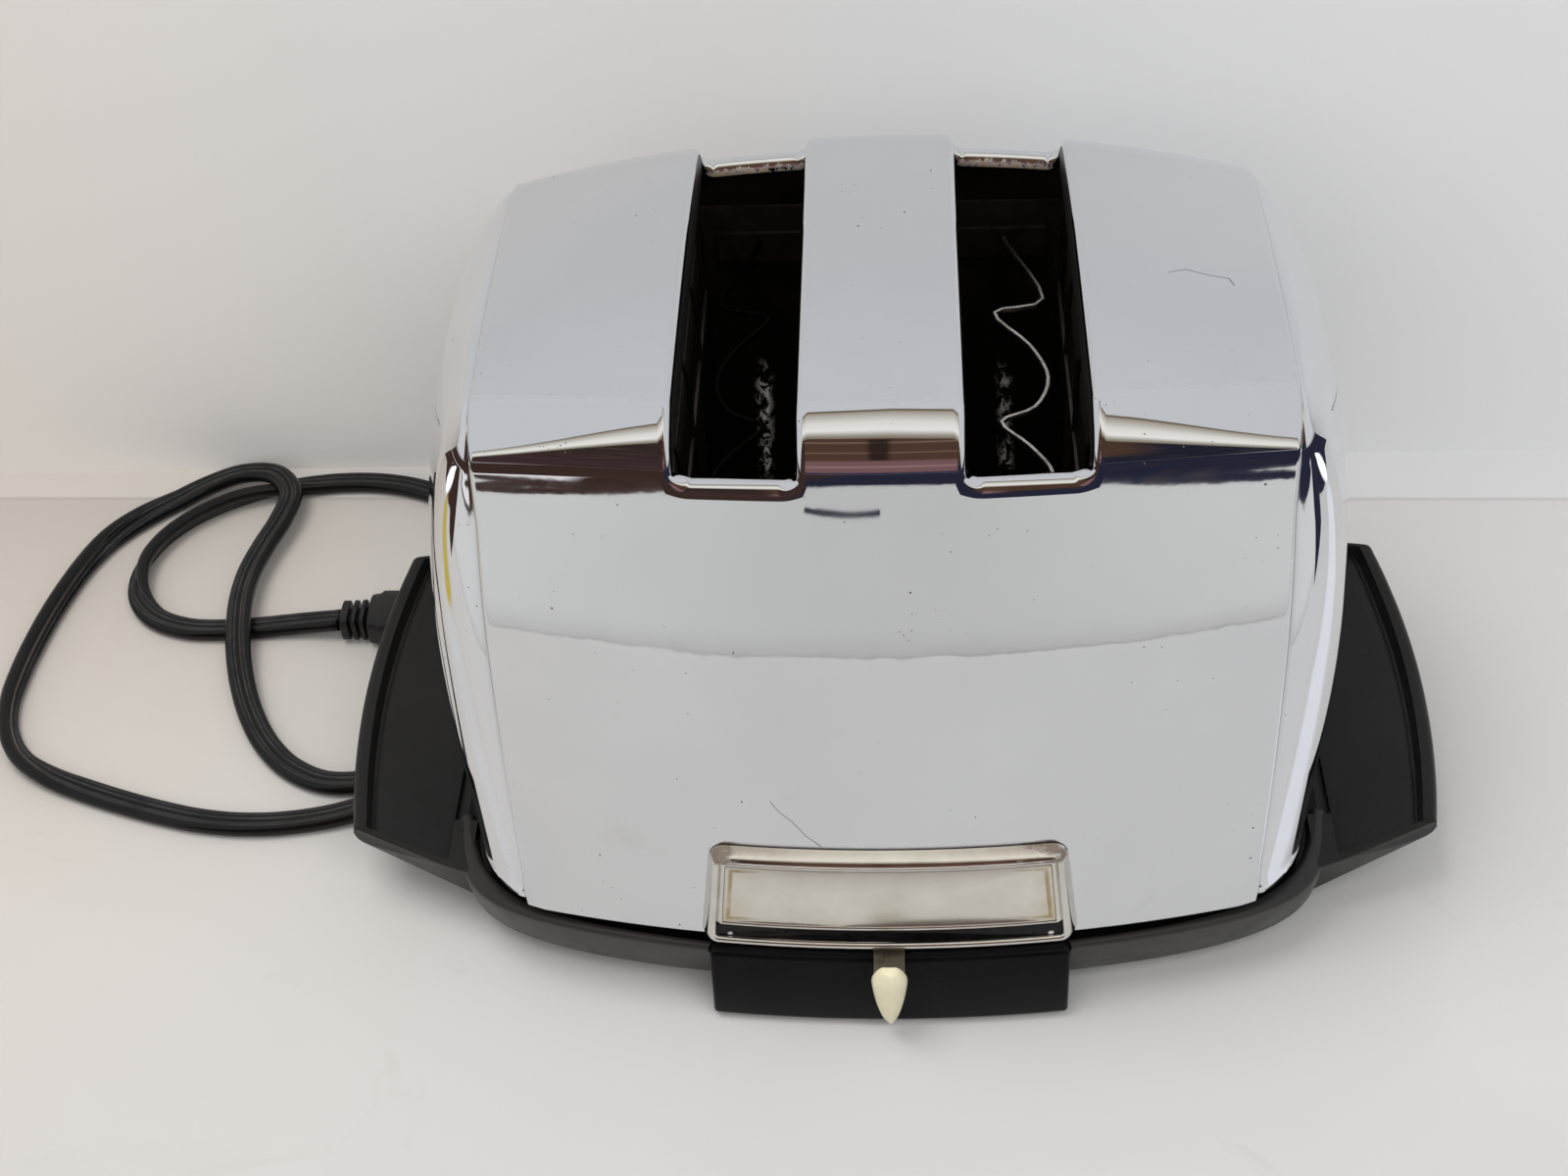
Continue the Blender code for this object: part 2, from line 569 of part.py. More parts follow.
arm = box("adjusting_arm", (ARM_PIVOT[0] - 3, -8.0, 22.6), (ARM_PIVOT[0] + 3, ARM_PIVOT[1] + 5, 23.8), STEEL)
cut(arm, rod("arm_eye", (ARM_PIVOT[0], ARM_PIVOT[1], 18), (ARM_PIVOT[0], ARM_PIVOT[1], 30), 2.0, None, cutters, 12))
rod("adjusting_pin", (ARM_PIVOT[0], ARM_PIVOT[1], 9.6), (ARM_PIVOT[0], ARM_PIVOT[1], 25.2), 1.6, STEEL, sides=12)
cut(arm, box("arm_slot", (ARM_PIVOT[0] - 2.2, -6.3, 20), (ARM_PIVOT[0] + 2.2, 5.8, 30), None, cutters))
hang(pivot("adjusting_axis", (ARM_PIVOT[0], ARM_PIVOT[1], 22.6)), arm)

# ---- thermostat, switch and terminals in the base ----
bracket = box("thermostat_bracket", (-52, -30, 9.6), (-30, 26, 10.8), STEEL)
combine(bracket, box("bracket_wall", (-52, -30, 10.2), (-50.6, 26, 24), None, cutters))
box("bimetal_blade", (-46.0, -28, 11.4), (-45.0, 24, 21.0), BRASS)
box("contact_blade", (-40.4, -24, 11.4), (-39.8, 20, 19.0), BRASS)
rod("contact_button", (-44.7, -20, 15.2), (-40.7, -20, 15.2), 1.8, STEEL, sides=12)
terminals = box("terminal_block", (-104, -36, 9.6), (-84, -12, 20), CERAMIC, round_by=1.0, segments=1)

# ---- chassis: end plates, ties, guide rods ----
chassis_front = box("chassis_front_plate", (-60, -65.8, 9.6), (60, -64.8, 158.0), STEEL)
cut(chassis_front, box("lever_window", (-36, -70, 21.5), (36, -60, 33.0), None, cutters))
box("chassis_rear_plate", (-60, 64.8, 9.6), (60, 65.8, 158.0), STEEL)
box("lower_tie", (-13, -64.5, 34.4), (13, 64.5, 35.4), STEEL)
box("upper_tie", (-13, -65.7, 158.3), (13, 65.7, 159.3), STEEL)
for y, word in ((-ROD_Y, "front"), (ROD_Y, "rear")):
    rod("guide_rod_" + word, (0, y, 35.7), (0, y, 158.0), 2.0, STEEL, sides=12)
hanger = box("lever_bracket", (-9, 16, 91), (-8, 36, 158.0), STEEL)

# ---- heating element cards and guard wires ----
for tag, x, half_y in (("left_outer", -54.0, 63.6), ("left_inner", -16.6, 58.0),
                       ("right_inner", 16.6, 58.0), ("right_outer", 54.0, 63.6)):
    if "inner" in tag:
        half_y = 59.5
    box("heater_card_" + tag, (x - 0.5, -half_y, 40), (x + 0.5, half_y, 146), MICA)
for tag, x, hook in (("left_outer", -50.2, -1), ("left_inner", -20.6, 1),
                     ("right_inner", 20.6, -1), ("right_outer", 50.2, 1)):
    lower = wire("guard_wires_" + tag, [(x, -60, 44), (x, 60, 44)], 0.8, DARK_STEEL)
    combine(lower, wire(f"guard_rail_{tag}", [(x, -60, 140), (x, 60, 140)], 0.8, None, cutters))
    for n, y in enumerate((-49.5, -16.5, 16.5, 49.5)):
        combine(lower, wire(f"guard_{tag}_{n}", [(x + 0.17, y, 41.7), (x + 0.17, y, 158), (x + 0.5 * hook, y, 163.5),
                                               (x + 1.8 * hook, y, 167), (x + 3.6 * hook, y, 168.6)],
                            0.67, None, cutters))

# ---- bread carriage ----
RACK = [(35, 61.4), (36, 57), (44.5, 31), (31, 25), (40, 10), (44, -4), (40, -16), (31, -22), (38, -32),
        (43, -43), (39, -56), (36, -61.4)]
for side, tag in ((-1, "left"), (1, "right")):
    path = through([(side * x, y, CARRIAGE_Z) for x, y in RACK], 4)
    wire("bread_rack_" + tag, path, 0.8, STEEL if side > 0 else DARK_STEEL)
for sign, word in ((-1, "front"), (1, "rear")):
    y = sign * 62.7
    head = box("crosshead_" + word, (-47, min(y - 0.75, y + 0.75), 141), (47, max(y - 0.75, y + 0.75), 150.5), STEEL)
    bush = rod(f"bush_{word}", (0, sign * ROD_Y, 138.5), (0, sign * ROD_Y, 152), 4.4, None, cutters, 16)
    web = box(f"web_{word}", (-1.6, min(sign * 60.2, sign * 62.9), 141.5), (1.6, max(sign * 60.2, sign * 62.9), 150), None, cutters)
    combine(head, web)
    combine(head, bush)
    if sign < 0:
        combine(head, box("lift_ear", (5.0, -62.9, 139.5), (6.0, -36.0, 150.4), None, cutters))
        cut(head, box("ear_slot", (4.0, -57.6, 142.1), (7.0, -38.0, 147.9), None, cutters))
    cut(head, rod(f"bush_bore_{word}", (0, sign * ROD_Y, 130), (0, sign * ROD_Y, 160), 2.4, None, cutters, 12))
carriage = pivot("carriage_axis", (0, 0, CARRIAGE_Z))
hang(carriage, *[bpy.data.objects[n] for n in ("bread_rack_left", "bread_rack_right", "crosshead_front", "crosshead_rear")])

turns, per_turn, low_z, high_z, coil_r = 12, 8, 36.4, 137.6, 5.3
coil = [(coil_r * math.cos(2 * math.pi * k / per_turn), ROD_Y + coil_r * math.sin(2 * math.pi * k / per_turn),
         low_z + (high_z - low_z) * k / (turns * per_turn)) for k in range(turns * per_turn + 1)]
wire("lift_spring", coil, 0.5, STEEL, resolution=0)

# lift lever: a plate that turns about its pivot pin; its own pin rides in the ear of the front crosshead
py, pz = LIFT_PIVOT
tilt = math.asin((LIFT_PIN_Z - pz) / LIFT_ARM)
lift = box("lift_lever", (6.6, -LIFT_ARM - 4.2, -4.2), (8.1, 7.5, 4.2), STEEL)
lift_stud = rod("lift_stud", (4.7, -LIFT_ARM, 0), (8.0, -LIFT_ARM, 0), 1.4, None, cutters, 12)
lift_eye = rod("lift_eye", (0, 0, 0), (14, 0, 0), 2.4, None, cutters, 12)
for piece in (lift, lift_stud, lift_eye):
    turned = Matrix.Rotation(-tilt, 4, "X")
    piece.matrix_world = Matrix.Translation(Vector((0, py, pz)) * MM) @ turned @ Matrix.Translation(piece.location)
combine(lift, lift_stud)
cut(lift, lift_eye)
rod("lift_pivot_pin", (-7.7, py, pz), (10.5, py, pz), 2.0, STEEL, sides=12)
bpy.context.view_layer.update()
lift_axis = pivot("lift_axis", (0, py, pz))
hang(lift_axis, lift)

# ---- bottom plate, crumb door, feet and screws ----
plate = loft("bottom_plate", [outline(8.2, 118.4, 0.0012, 88.8, 0.0014, 9),
                              outline(9.2, 118.4, 0.0012, 88.8, 0.0014, 9)], STEEL)
cut(plate, box("crumb_opening", (-68, -46, 0), (68, 46, 20), None, cutters))
for n, (x, y) in enumerate(BOSSES):
    cut(plate, rod(f"plate_hole_{n}", (x, y, 5.0), (x, y, 12.0), 2.2, None, cutters, 8))
cut(plate, box("gland_notch", (-125, -31.5, 5), (-112, -16.5, 14.8), None, cutters))
for n, (x, y) in enumerate(BOSSES):
    words = ("front" if y < 0 else "rear") + ("_left" if x < 0 else "_right")
    screw = rod("base_screw_" + words, (x, y, 5.9), (x, y, 7.9), 3.0, STEEL, sides=12, radius_end=3.4)
    combine(screw, rod("shank_" + words, (x, y, 7.0), (x, y, 16.0), 1.5, None, cutters, 8))
    cut(screw, box("drive_" + words, (x - 4, y - 0.4, 5.0), (x + 4, y + 0.4, 6.6), None, cutters))
FEET = [(sx * 88.0, sy * 62.0) for sx in (-1, 1) for sy in (-1, 1)]
for x, y in FEET:
    words = ("front" if y < 0 else "rear") + ("_left" if x < 0 else "_right")
    bevel(rod("foot_" + words, (x, y, 0.0), (x, y, 7.9), 8.0, RUBBER, sides=16, radius_end=9.0), 0.8, 1)

hy, hz = DOOR_HINGE
door = box("crumb_door", (-70, -49, 6.6), (70, hy - 1.8, 7.6), STEEL)
for n, (x0, x1) in enumerate(((-52, -22), (22, 52))):
    combine(door, rod(f"knuckle_{n}", (x0, hy, hz), (x1, hy, hz), 2.3, None, cutters, 14))
for n, (x0, x1) in enumerate(((-52, -22), (22, 52))):
    cut(door, rod(f"knuckle_bore_{n}", (x0 - 2, hy, hz), (x1 + 2, hy, hz), 1.45, None, cutters, 12))
rod("crumb_hinge_pin", (-58, hy, hz), (58, hy, hz), 1.1, STEEL, sides=12)
catch = box("crumb_door_catch", (-11, -52.5, 4.3), (11, -44, 6.3), STEEL, round_by=0.6, segments=1)
hang(pivot("door_axis", (0, hy, hz)), door, catch)

# ---- cord gland, flat cord and plug ----
def oval(x, y, z, wide, tall, count=12, along=Vector((1, 0, 0))):
    loop = []
    for k in range(count):
        a = 2 * math.pi * k / count
        c, s = math.cos(a), math.sin(a)
        f = 1.0 / (abs(c) ** 3.2 + abs(s) ** 3.2) ** (1 / 3.2)
        loop.append((x, y + wide / 2 * c * f, z + tall / 2 * s * f))
    return loop


GLAND_Y = -24.0
gland = loft("cord_gland", [oval(-113.5, GLAND_Y, 8.2, 13.5, 10.0), oval(-116.0, GLAND_Y, 8.2, 13.5, 10.0),
                            oval(-116.4, GLAND_Y, 8.2, 11.0, 8.2), oval(-125.5, GLAND_Y, 8.0, 11.0, 8.2),
                            oval(-126.0, GLAND_Y, 8.0, 12.6, 9.4), oval(-128.5, GLAND_Y, 7.8, 12.6, 9.4),
                            oval(-129.5, GLAND_Y, 7.6, 11.0, 7.8), oval(-146.0, GLAND_Y, 6.0, 9.4, 5.8)], RUBBER)
smooth(gland, 40)

ROUTE = [(-146.8, -24.0, 5.9), (-155.0, -24.6, 3.9), (-165.5, -28.2, 2.6), (-186.4, -32.4, 2.4), (-208.4, -31.6, 2.4),
         (-231.8, -25.3, 2.4), (-256.4, -16.0, 2.4), (-273.0, -7.4, 2.4), (-282.8, 7.8, 2.4), (-285.4, 28.8, 2.4),
         (-281.7, 65.0, 2.4), (-271.7, 97.4, 2.4), (-252.3, 118.8, 2.6), (-233.9, 128.8, 5.4), (-217.0, 126.6, 7.6),
         (-209.4, 112.6, 7.6), (-213.6, 96.0, 6.8), (-217.9, 73.5, 6.6), (-215.5, 48.8, 7.6), (-210.0, 25.8, 4.4),
         (-199.0, 2.8, 2.5), (-184.0, -12.5, 2.4), (-169.6, -16.6, 2.4), (-152.0, -11.6, 2.4), (-138.5, 2.0, 2.4),
         (-129.0, 24.0, 2.4), (-125.0, 50.0, 2.4), (-127.0, 78.0, 2.4), (-139.5, 105.0, 2.4), (-161.0, 120.8, 2.4),
         (-182.2, 126.8, 2.4), (-202.4, 126.3, 2.4), (-220.6, 121.8, 2.4), (-237.8, 113.3, 2.4), (-251.1, 99.7, 2.4),
         (-257.1, 82.8, 2.4), (-254.4, 67.0, 2.4), (-243.5, 55.8, 2.4), (-228.0, 52.3, 2.4), (-212.8, 53.2, 2.4),
         (-198.7, 54.2, 3.0), (-189.5, 53.6, 4.9), (-181.9, 53.0, 6.0)]


def even(points, spacing):
    """The smooth curve through the points, read off at even steps."""
    fine = through(points, 12)
    lengths = [0.0]
    for a, b in zip(fine, fine[1:]):
        lengths.append(lengths[-1] + (b - a).length)
    count = max(2, round(lengths[-1] / spacing))
    out, k = [], 0
    for i in range(count + 1):
        want = lengths[-1] * i / count
        while k < len(lengths) - 2 and lengths[k + 1] < want:
            k += 1
        t = (want - lengths[k]) / max(1e-9, lengths[k + 1] - lengths[k])
        out.append(fine[k].lerp(fine[k + 1], min(1.0, max(0.0, t))))
    return out, lengths[-1]


def relaxed(points, passes):
    """Eases small wriggles out of the route; the two ends stay."""
    pts = [Vector(p) for p in points]
    for _ in range(passes):
        pts = [pts[0], pts[1]] + [(pts[i - 1] + 4 * pts[i] + pts[i + 1]) / 6 for i in range(2, len(pts) - 2)] + [pts[-2], pts[-1]]
    return pts


fine_route, cord_length = even(ROUTE, 6.0)
fine_route = relaxed(fine_route, 2)
cord_points, cord_length = even(fine_route, 13.4)
section = bpy.data.curves.new("cord_section", "CURVE")
section.dimensions = "2D"
ring = section.splines.new("POLY")
ring.points.add(9)
for k, knot in enumerate(ring.points):
    a = 2 * math.pi * (k + 0.5) / 10
    c, s = math.cos(a), math.sin(a)
    knot.co = (CORD_W / 2 * c * MM, CORD_T / 2 * s * MM * 1.05, 0, 1)
ring.use_cyclic_u = True
section_obj = bpy.data.objects.new("cord_section", section)
cutters.objects.link(section_obj)
section_obj.hide_render = True
section_obj.display_type = "WIRE"
path = bpy.data.curves.new("cord_path", "CURVE")
path.dimensions = "3D"
path.twist_mode = "Z_UP"
path.bevel_mode = "OBJECT"
path.bevel_object = section_obj
path.use_fill_caps = True
spline = path.splines.new("POLY")
spline.points.add(len(cord_points) - 1)
for knot, p in zip(spline.points, cord_points):
    p.z = max(p.z, CORD_Z)
    knot.co = (*(p * MM), 1.0)
cord = bpy.data.objects.new("cord", path)
parts.objects.link(cord)
cord = as_mesh(cord, RUBBER)

PLUG_Y, PLUG_Z = 53.0, 6.0
plug_loops = []
for x, wide, tall, z in ((-181.2, 10.6, 8.8, 6.0), (-180.6, 11.6, 9.8, 6.0), (-178.4, 11.6, 9.8, 6.0), (-178.2, 6.2, 5.4, 6.0),
                         (-177.4, 6.2, 5.4, 6.0), (-177.2, 11.8, 10.0, 6.0), (-175.6, 11.8, 10.0, 6.0), (-175.4, 7.0, 6.0, 6.0),
                         (-174.6, 7.0, 6.0, 6.0), (-174.4, 12.0, 10.4, 6.0), (-172.8, 12.0, 10.4, 6.0), (-172.6, 9.0, 7.6, 6.1),
                         (-171.8, 9.0, 7.6, 6.1), (-171.4, 16.2, 11.6, 6.4), (-167.5, 18.6, 12.4, 6.4), (-151.5, 18.6, 12.4, 6.4),
                         (-150.0, 17.4, 11.4, 6.4)):
    plug_loops.append(oval(x, PLUG_Y, z, wide, tall))
smooth(loft("plug_body", plug_loops, RUBBER), 40)
for n, dy in enumerate((-6.35, 6.35)):
    box(f"plug_prong_{n + 1}", (-149.7, PLUG_Y + dy - 0.75, 3.25), (-134.0, PLUG_Y + dy + 0.75, 9.55), BRASS)

# the whole assembly is carried to the frame whose origin is under the middle of its outer box
for obj in list(parts.objects) + list(cutters.objects):
    if obj.parent is None:
        obj.location.y += FRAME_Y * MM
print("cord length, mm:", round(cord_length, 1), "points:", len(cord_points))
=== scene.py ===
import json
import math

import bmesh
import bpy
from mathutils import Matrix, Vector


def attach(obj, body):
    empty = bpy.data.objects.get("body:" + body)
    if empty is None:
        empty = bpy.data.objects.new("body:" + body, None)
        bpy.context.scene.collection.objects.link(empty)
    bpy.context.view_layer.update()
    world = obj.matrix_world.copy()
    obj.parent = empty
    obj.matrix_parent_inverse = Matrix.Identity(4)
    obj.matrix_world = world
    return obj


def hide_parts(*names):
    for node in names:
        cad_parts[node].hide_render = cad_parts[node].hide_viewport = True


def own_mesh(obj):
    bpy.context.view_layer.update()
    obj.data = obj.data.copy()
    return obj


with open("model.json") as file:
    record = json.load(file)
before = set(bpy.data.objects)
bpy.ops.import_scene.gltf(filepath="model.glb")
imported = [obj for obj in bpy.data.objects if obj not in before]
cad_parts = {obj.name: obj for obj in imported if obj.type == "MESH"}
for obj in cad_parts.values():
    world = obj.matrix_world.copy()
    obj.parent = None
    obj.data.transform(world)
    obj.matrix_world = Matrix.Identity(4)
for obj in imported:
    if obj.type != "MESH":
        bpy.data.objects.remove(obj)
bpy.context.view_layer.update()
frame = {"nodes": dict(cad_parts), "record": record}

# Lengths are in millimetres in the body's own frame (its centre plane at y = 0, table at z = 0); at() turns them
# into metres in the shared frame.
MM = 0.001
FRAME_Y = 5.5


def at(p):
    return Vector((p[0] * MM, (p[1] + FRAME_Y) * MM, p[2] * MM))


# ---------------------------------------------------------------- camera
AZ, PITCH, ROLL = -0.07257, 0.76145, -0.06253
EYE = (4.17481, -466.22643, 514.44358)
FOCAL_PX = 2252.78
fw = Vector((math.sin(AZ) * math.cos(PITCH), math.cos(AZ) * math.cos(PITCH), -math.sin(PITCH)))
right = Vector((math.cos(AZ), -math.sin(AZ), 0))
up = right.cross(fw)
cam_x = math.cos(ROLL) * right + math.sin(ROLL) * up
cam_y = -math.sin(ROLL) * right + math.cos(ROLL) * up
cam_data = bpy.data.cameras.new("photo_camera")
cam_data.sensor_width = 36.0
cam_data.lens = FOCAL_PX / 1600 * 36.0
cam_data.clip_start = 0.01
cam_data.clip_end = 50.0
cam = bpy.data.objects.new("photo_camera", cam_data)
bpy.context.scene.collection.objects.link(cam)
turn = Matrix((cam_x, cam_y, -fw)).transposed().to_4x4()
cam.matrix_world = Matrix.Translation(at(EYE)) @ turn
bpy.context.scene.camera = cam
bpy.context.scene.view_settings.view_transform = "Standard"


# ---------------------------------------------------------------- material building
class Finish:
    """A node material: coordinates are the object's own, in metres, so sizes below are in millimetres."""

    def __init__(self, name, block=None):
        self.mat = block or bpy.data.materials.new(name)
        self.mat.use_nodes = True
        self.tree = self.mat.node_tree
        self.shader = self.tree.nodes.get("Principled BSDF")
        self.coords = self.tree.nodes.new("ShaderNodeTexCoord").outputs["Generated" if block else "Object"]

    def node(self, kind, inputs=(), **settings):
        made = self.tree.nodes.new(kind)
        for key, value in settings.items():
            setattr(made, key, value)
        for key, value in dict(inputs).items():
            self.feed(made.inputs[key], value)
        return made

    def feed(self, socket, value):
        if isinstance(value, bpy.types.NodeSocket):
            self.tree.links.new(value, socket)
        else:
            socket.default_value = value

    def noise(self, size, detail=3.0, rough=0.5, distortion=0.0, coords=None):
        """Noise whose features are about size millimetres across."""
        made = self.node("ShaderNodeTexNoise", {"Vector": coords or self.coords, "Scale": 1.0 / (size * MM),
                                                "Detail": detail, "Roughness": rough, "Distortion": distortion})
        return made.outputs["Fac"]

    def stretched(self, x, y, z):
        return self.node("ShaderNodeVectorMath", {0: self.coords, 1: (x, y, z)}, operation="MULTIPLY").outputs[0]

    def range(self, value, low, high, to_low=0.0, to_high=1.0):
        return self.node("ShaderNodeMapRange", {"Value": value, "From Min": low, "From Max": high,
                                                "To Min": to_low, "To Max": to_high}).outputs["Result"]

    def math(self, operation, a, b=0.0):
        made = self.node("ShaderNodeMath", {0: a, 1: b}, operation=operation)
        return made.outputs[0]

    def mix(self, fac, a, b):
        made = self.node("ShaderNodeMix", data_type="RGBA")
        self.feed(made.inputs[0], fac)
        for index, value in ((6, a), (7, b)):
            self.feed(made.inputs[index], (*value, 1.0) if isinstance(value, tuple) else value)
        return made.outputs[2]

    def attribute(self, name):
        return self.node("ShaderNodeAttribute", attribute_name=name).outputs["Fac"]

    def specks(self, spacing, radius, share, coords=None):
        """Scattered dots: 1 inside a dot. Only a share of the cells holds one."""
        cells = self.node("ShaderNodeTexVoronoi", {"Vector": coords or self.coords, "Scale": 1.0 / (spacing * MM)})
        dot = self.range(cells.outputs["Distance"], radius / spacing, radius / spacing * 0.6)
        pick = self.node("ShaderNodeSeparateColor", {0: cells.outputs["Color"]}).outputs[0]
        chosen = self.math("LESS_THAN", pick, share)
        return self.math("MULTIPLY", dot, chosen)

    def stroke(self, a, b, width):
        """1 along the straight stroke from a to b (millimetres in the body's frame)."""
        a, b = at(a), at(b)
        along = b - a
        pa = self.node("ShaderNodeVectorMath", {0: self.coords, 1: a}, operation="SUBTRACT").outputs[0]
        dot = self.node("ShaderNodeVectorMath", {0: pa, 1: along / along.length_squared}, operation="DOT_PRODUCT")
        t = self.node("ShaderNodeClamp", {"Value": dot.outputs["Value"]}).outputs[0]
        foot = self.node("ShaderNodeVectorMath", {0: along}, operation="SCALE")
        self.feed(foot.inputs["Scale"], t)
        off = self.node("ShaderNodeVectorMath", {0: pa, 1: foot.outputs[0]}, operation="SUBTRACT").outputs[0]
        d = self.node("ShaderNodeVectorMath", {0: off}, operation="LENGTH").outputs["Value"]
        return self.range(d, width * MM, width * MM * 0.4)

    def strokes(self, points, width):
        total = None
        for a, b in zip(points, points[1:]):
            one = self.stroke(a, b, width)
            total = one if total is None else self.math("MAXIMUM", total, one)
        return total

    def bump(self, height, distance, strength=1.0, normal=None):
        made = self.node("ShaderNodeBump", {"Height": height, "Distance": distance * MM, "Strength": strength})
        if normal is not None:
            self.feed(made.inputs["Normal"], normal)
        return made.outputs["Normal"]

    def inside(self, value, low, high, soft):
        """1 where value lies between low and high."""
        return self.math("MULTIPLY", self.range(value, low - soft, low + soft), self.range(value, high + soft, high - soft))

    def set(self, **values):
        for key, value in values.items():
            socket = self.shader.inputs[key.replace("_", " ")]
            if isinstance(value, tuple) and len(value) == 3 and socket.type == "RGBA":
                value = (*value, 1.0)
            self.feed(socket, value)
        return self.mat


def chrome_finish(name, tint=(0.735, 0.748, 0.772), marks=(), rust_colour=(0.16, 0.085, 0.04), lift=0.0, patches=()):
    f = Finish(name)
    cloud = f.noise(34, 4.0, 0.55)
    grain = f.noise(0.9, 2.0, 0.6)
    worn = f.attribute("wear")
    pits = f.specks(6.5, 0.36, 0.22)
    fine_pits = f.specks(2.3, 0.22, 0.22)
    patch = f.range(f.noise(24, 3.0, 0.6), 0.50, 0.60)
    fine_pits = f.math("MULTIPLY", fine_pits, patch)
    rust = f.range(f.math("ADD", worn, f.math("MULTIPLY", f.noise(2.2, 5.0, 0.7), 1.0)), 0.98, 1.10)
    dark = f.math("MAXIMUM", f.math("MAXIMUM", pits, fine_pits), 0.0)
    for points, width in marks:
        dark = f.math("MAXIMUM", dark, f.math("MULTIPLY", f.strokes(points, width), 0.8))
    for centre, radius in patches:
        near = f.node("ShaderNodeVectorMath", {0: f.coords, 1: at(centre)}, operation="DISTANCE").outputs["Value"]
        near = f.range(near, radius * MM, 0.4 * radius * MM)
        dark = f.math("MAXIMUM", dark, f.math("MULTIPLY", near, f.specks(1.15, 0.21, 0.42)))
    shade = f.range(cloud, 0.3, 0.75)
    base = f.mix(shade, tuple(0.965 * c for c in tint), tint)
    base = f.mix(f.math("MULTIPLY", dark, 0.85), base, (0.10, 0.085, 0.07))
    base = f.mix(rust, base, f.mix(f.noise(1.1, 3.0, 0.6), rust_colour, (0.46, 0.38, 0.27)))
    # Painted shade: this attribute darkens the slots' rolled edges and turned-down flanges, the shell's turned-under
    # outer edge and the strip of each cover tucked under the band.
    painted_shade = f.attribute("painted_shade")
    base = f.mix(f.math("MULTIPLY", painted_shade, 0.92), base, (0.035, 0.03, 0.026))
    haze = f.range(cloud, 0.35, 0.8, 0.012, 0.035)
    rough = f.math("ADD", haze, f.math("MULTIPLY", grain, 0.012))
    rough = f.math("MAXIMUM", rough, f.math("MULTIPLY", painted_shade, 0.5))
    rough = f.math("MAXIMUM", rough, f.math("MULTIPLY", f.math("MAXIMUM", rust, dark), 0.6))
    metal = f.range(rust, 0.0, 1.0, 1.0, 0.15)
    if lift:
        upright = f.node("ShaderNodeNewGeometry").outputs["Normal"]
        height = f.node("ShaderNodeSeparateXYZ", {0: f.coords}).outputs["Z"]
        more = f.node("ShaderNodeCombineXYZ", {"Z": f.range(height, 0.100, 0.045, 0.0, lift)}).outputs[0]
        sum_of = f.node("ShaderNodeVectorMath", {0: upright, 1: more}, operation="ADD").outputs[0]
        tilted = f.node("ShaderNodeVectorMath", {0: sum_of}, operation="NORMALIZE").outputs[0]
        normal = f.bump(f.noise(42, 1.0, 0.4), 0.04, 1.0, tilted)
    else:
        normal = f.bump(f.noise(42, 1.0, 0.4), 0.04)
    normal = f.bump(f.noise(5.0, 2.0, 0.5), 0.0024, 1.0, normal)
    normal = f.bump(f.math("MAXIMUM", rust, dark), 0.03, 0.6, normal)
    return f.set(Base_Color=base, Roughness=rough, Metallic=metal, Normal=normal)


def moulded_finish(name, colour, rough, spread=0.12, dust=0.05, coat=0.0, specular=0.5):
    """Dark moulded plastic: a mottled satin skin, fine grain and a little dust."""
    f = Finish(name)
    cloud = f.noise(18, 5.0, 0.6)
    base = f.mix(f.range(cloud, 0.3, 0.72), colour, tuple(c * 1.35 + 0.001 for c in colour))
    dusty = f.math("MAXIMUM", f.specks(5.0, 0.16, dust), f.specks(11.0, 0.28, dust * 0.7))
    base = f.mix(f.math("MULTIPLY", dusty, 0.5), base, (0.36, 0.34, 0.31))
    skin = f.range(f.noise(9, 4.0, 0.6), 0.3, 0.7, rough - spread / 2, rough + spread / 2)
    skin = f.math("MAXIMUM", skin, f.math("MULTIPLY", dusty, 0.8))
    normal = f.bump(f.noise(0.55, 2.0, 0.6), 0.012, 0.6)
    normal = f.bump(f.noise(30, 1.0, 0.4), 0.05, 1.0, normal)
    return f.set(Base_Color=base, Roughness=skin, Normal=normal, Coat_Weight=coat, Coat_Roughness=0.15, Specular_IOR_Level=specular)


def metal_finish(name, colour, rough, stain=(0.10, 0.07, 0.045), amount=0.35, stretch=(1, 1, 1), metallic=1.0):
    f = Finish(name)
    lines = f.noise(0.8, 2.0, 0.6, coords=f.stretched(*stretch))
    blotch = f.range(f.noise(7, 5.0, 0.65), 0.5, 0.72, 0.0, amount)
    base = f.mix(f.range(lines, 0.3, 0.7), colour, tuple(c * 0.72 for c in colour))
    base = f.mix(blotch, base, stain)
    skin = f.math("ADD", f.range(lines, 0.3, 0.7, rough * 0.85, rough * 1.15), f.math("MULTIPLY", blotch, 0.3))
    return f.set(Base_Color=base, Roughness=skin, Metallic=metallic, Normal=f.bump(lines, 0.01, 0.5))


def dark_inside(name):
    f = Finish(name)
    # A near-black mottle with a few brown specks for the parts inside the slots.
    dark_mottle = f.range(f.noise(6, 5.0, 0.6), 0.3, 0.75)
    base = f.mix(dark_mottle, (0.004, 0.0035, 0.003), (0.014, 0.010, 0.007))
    base = f.mix(f.math("MULTIPLY", f.specks(4.0, 0.35, 0.05), 0.25), base, (0.12, 0.06, 0.03))
    return f.set(Base_Color=base, Roughness=f.range(dark_mottle, 0.0, 1.0, 0.5, 0.75), Metallic=0.0,
                 Normal=f.bump(f.noise(1.3, 3.0, 0.6), 0.03, 0.6))


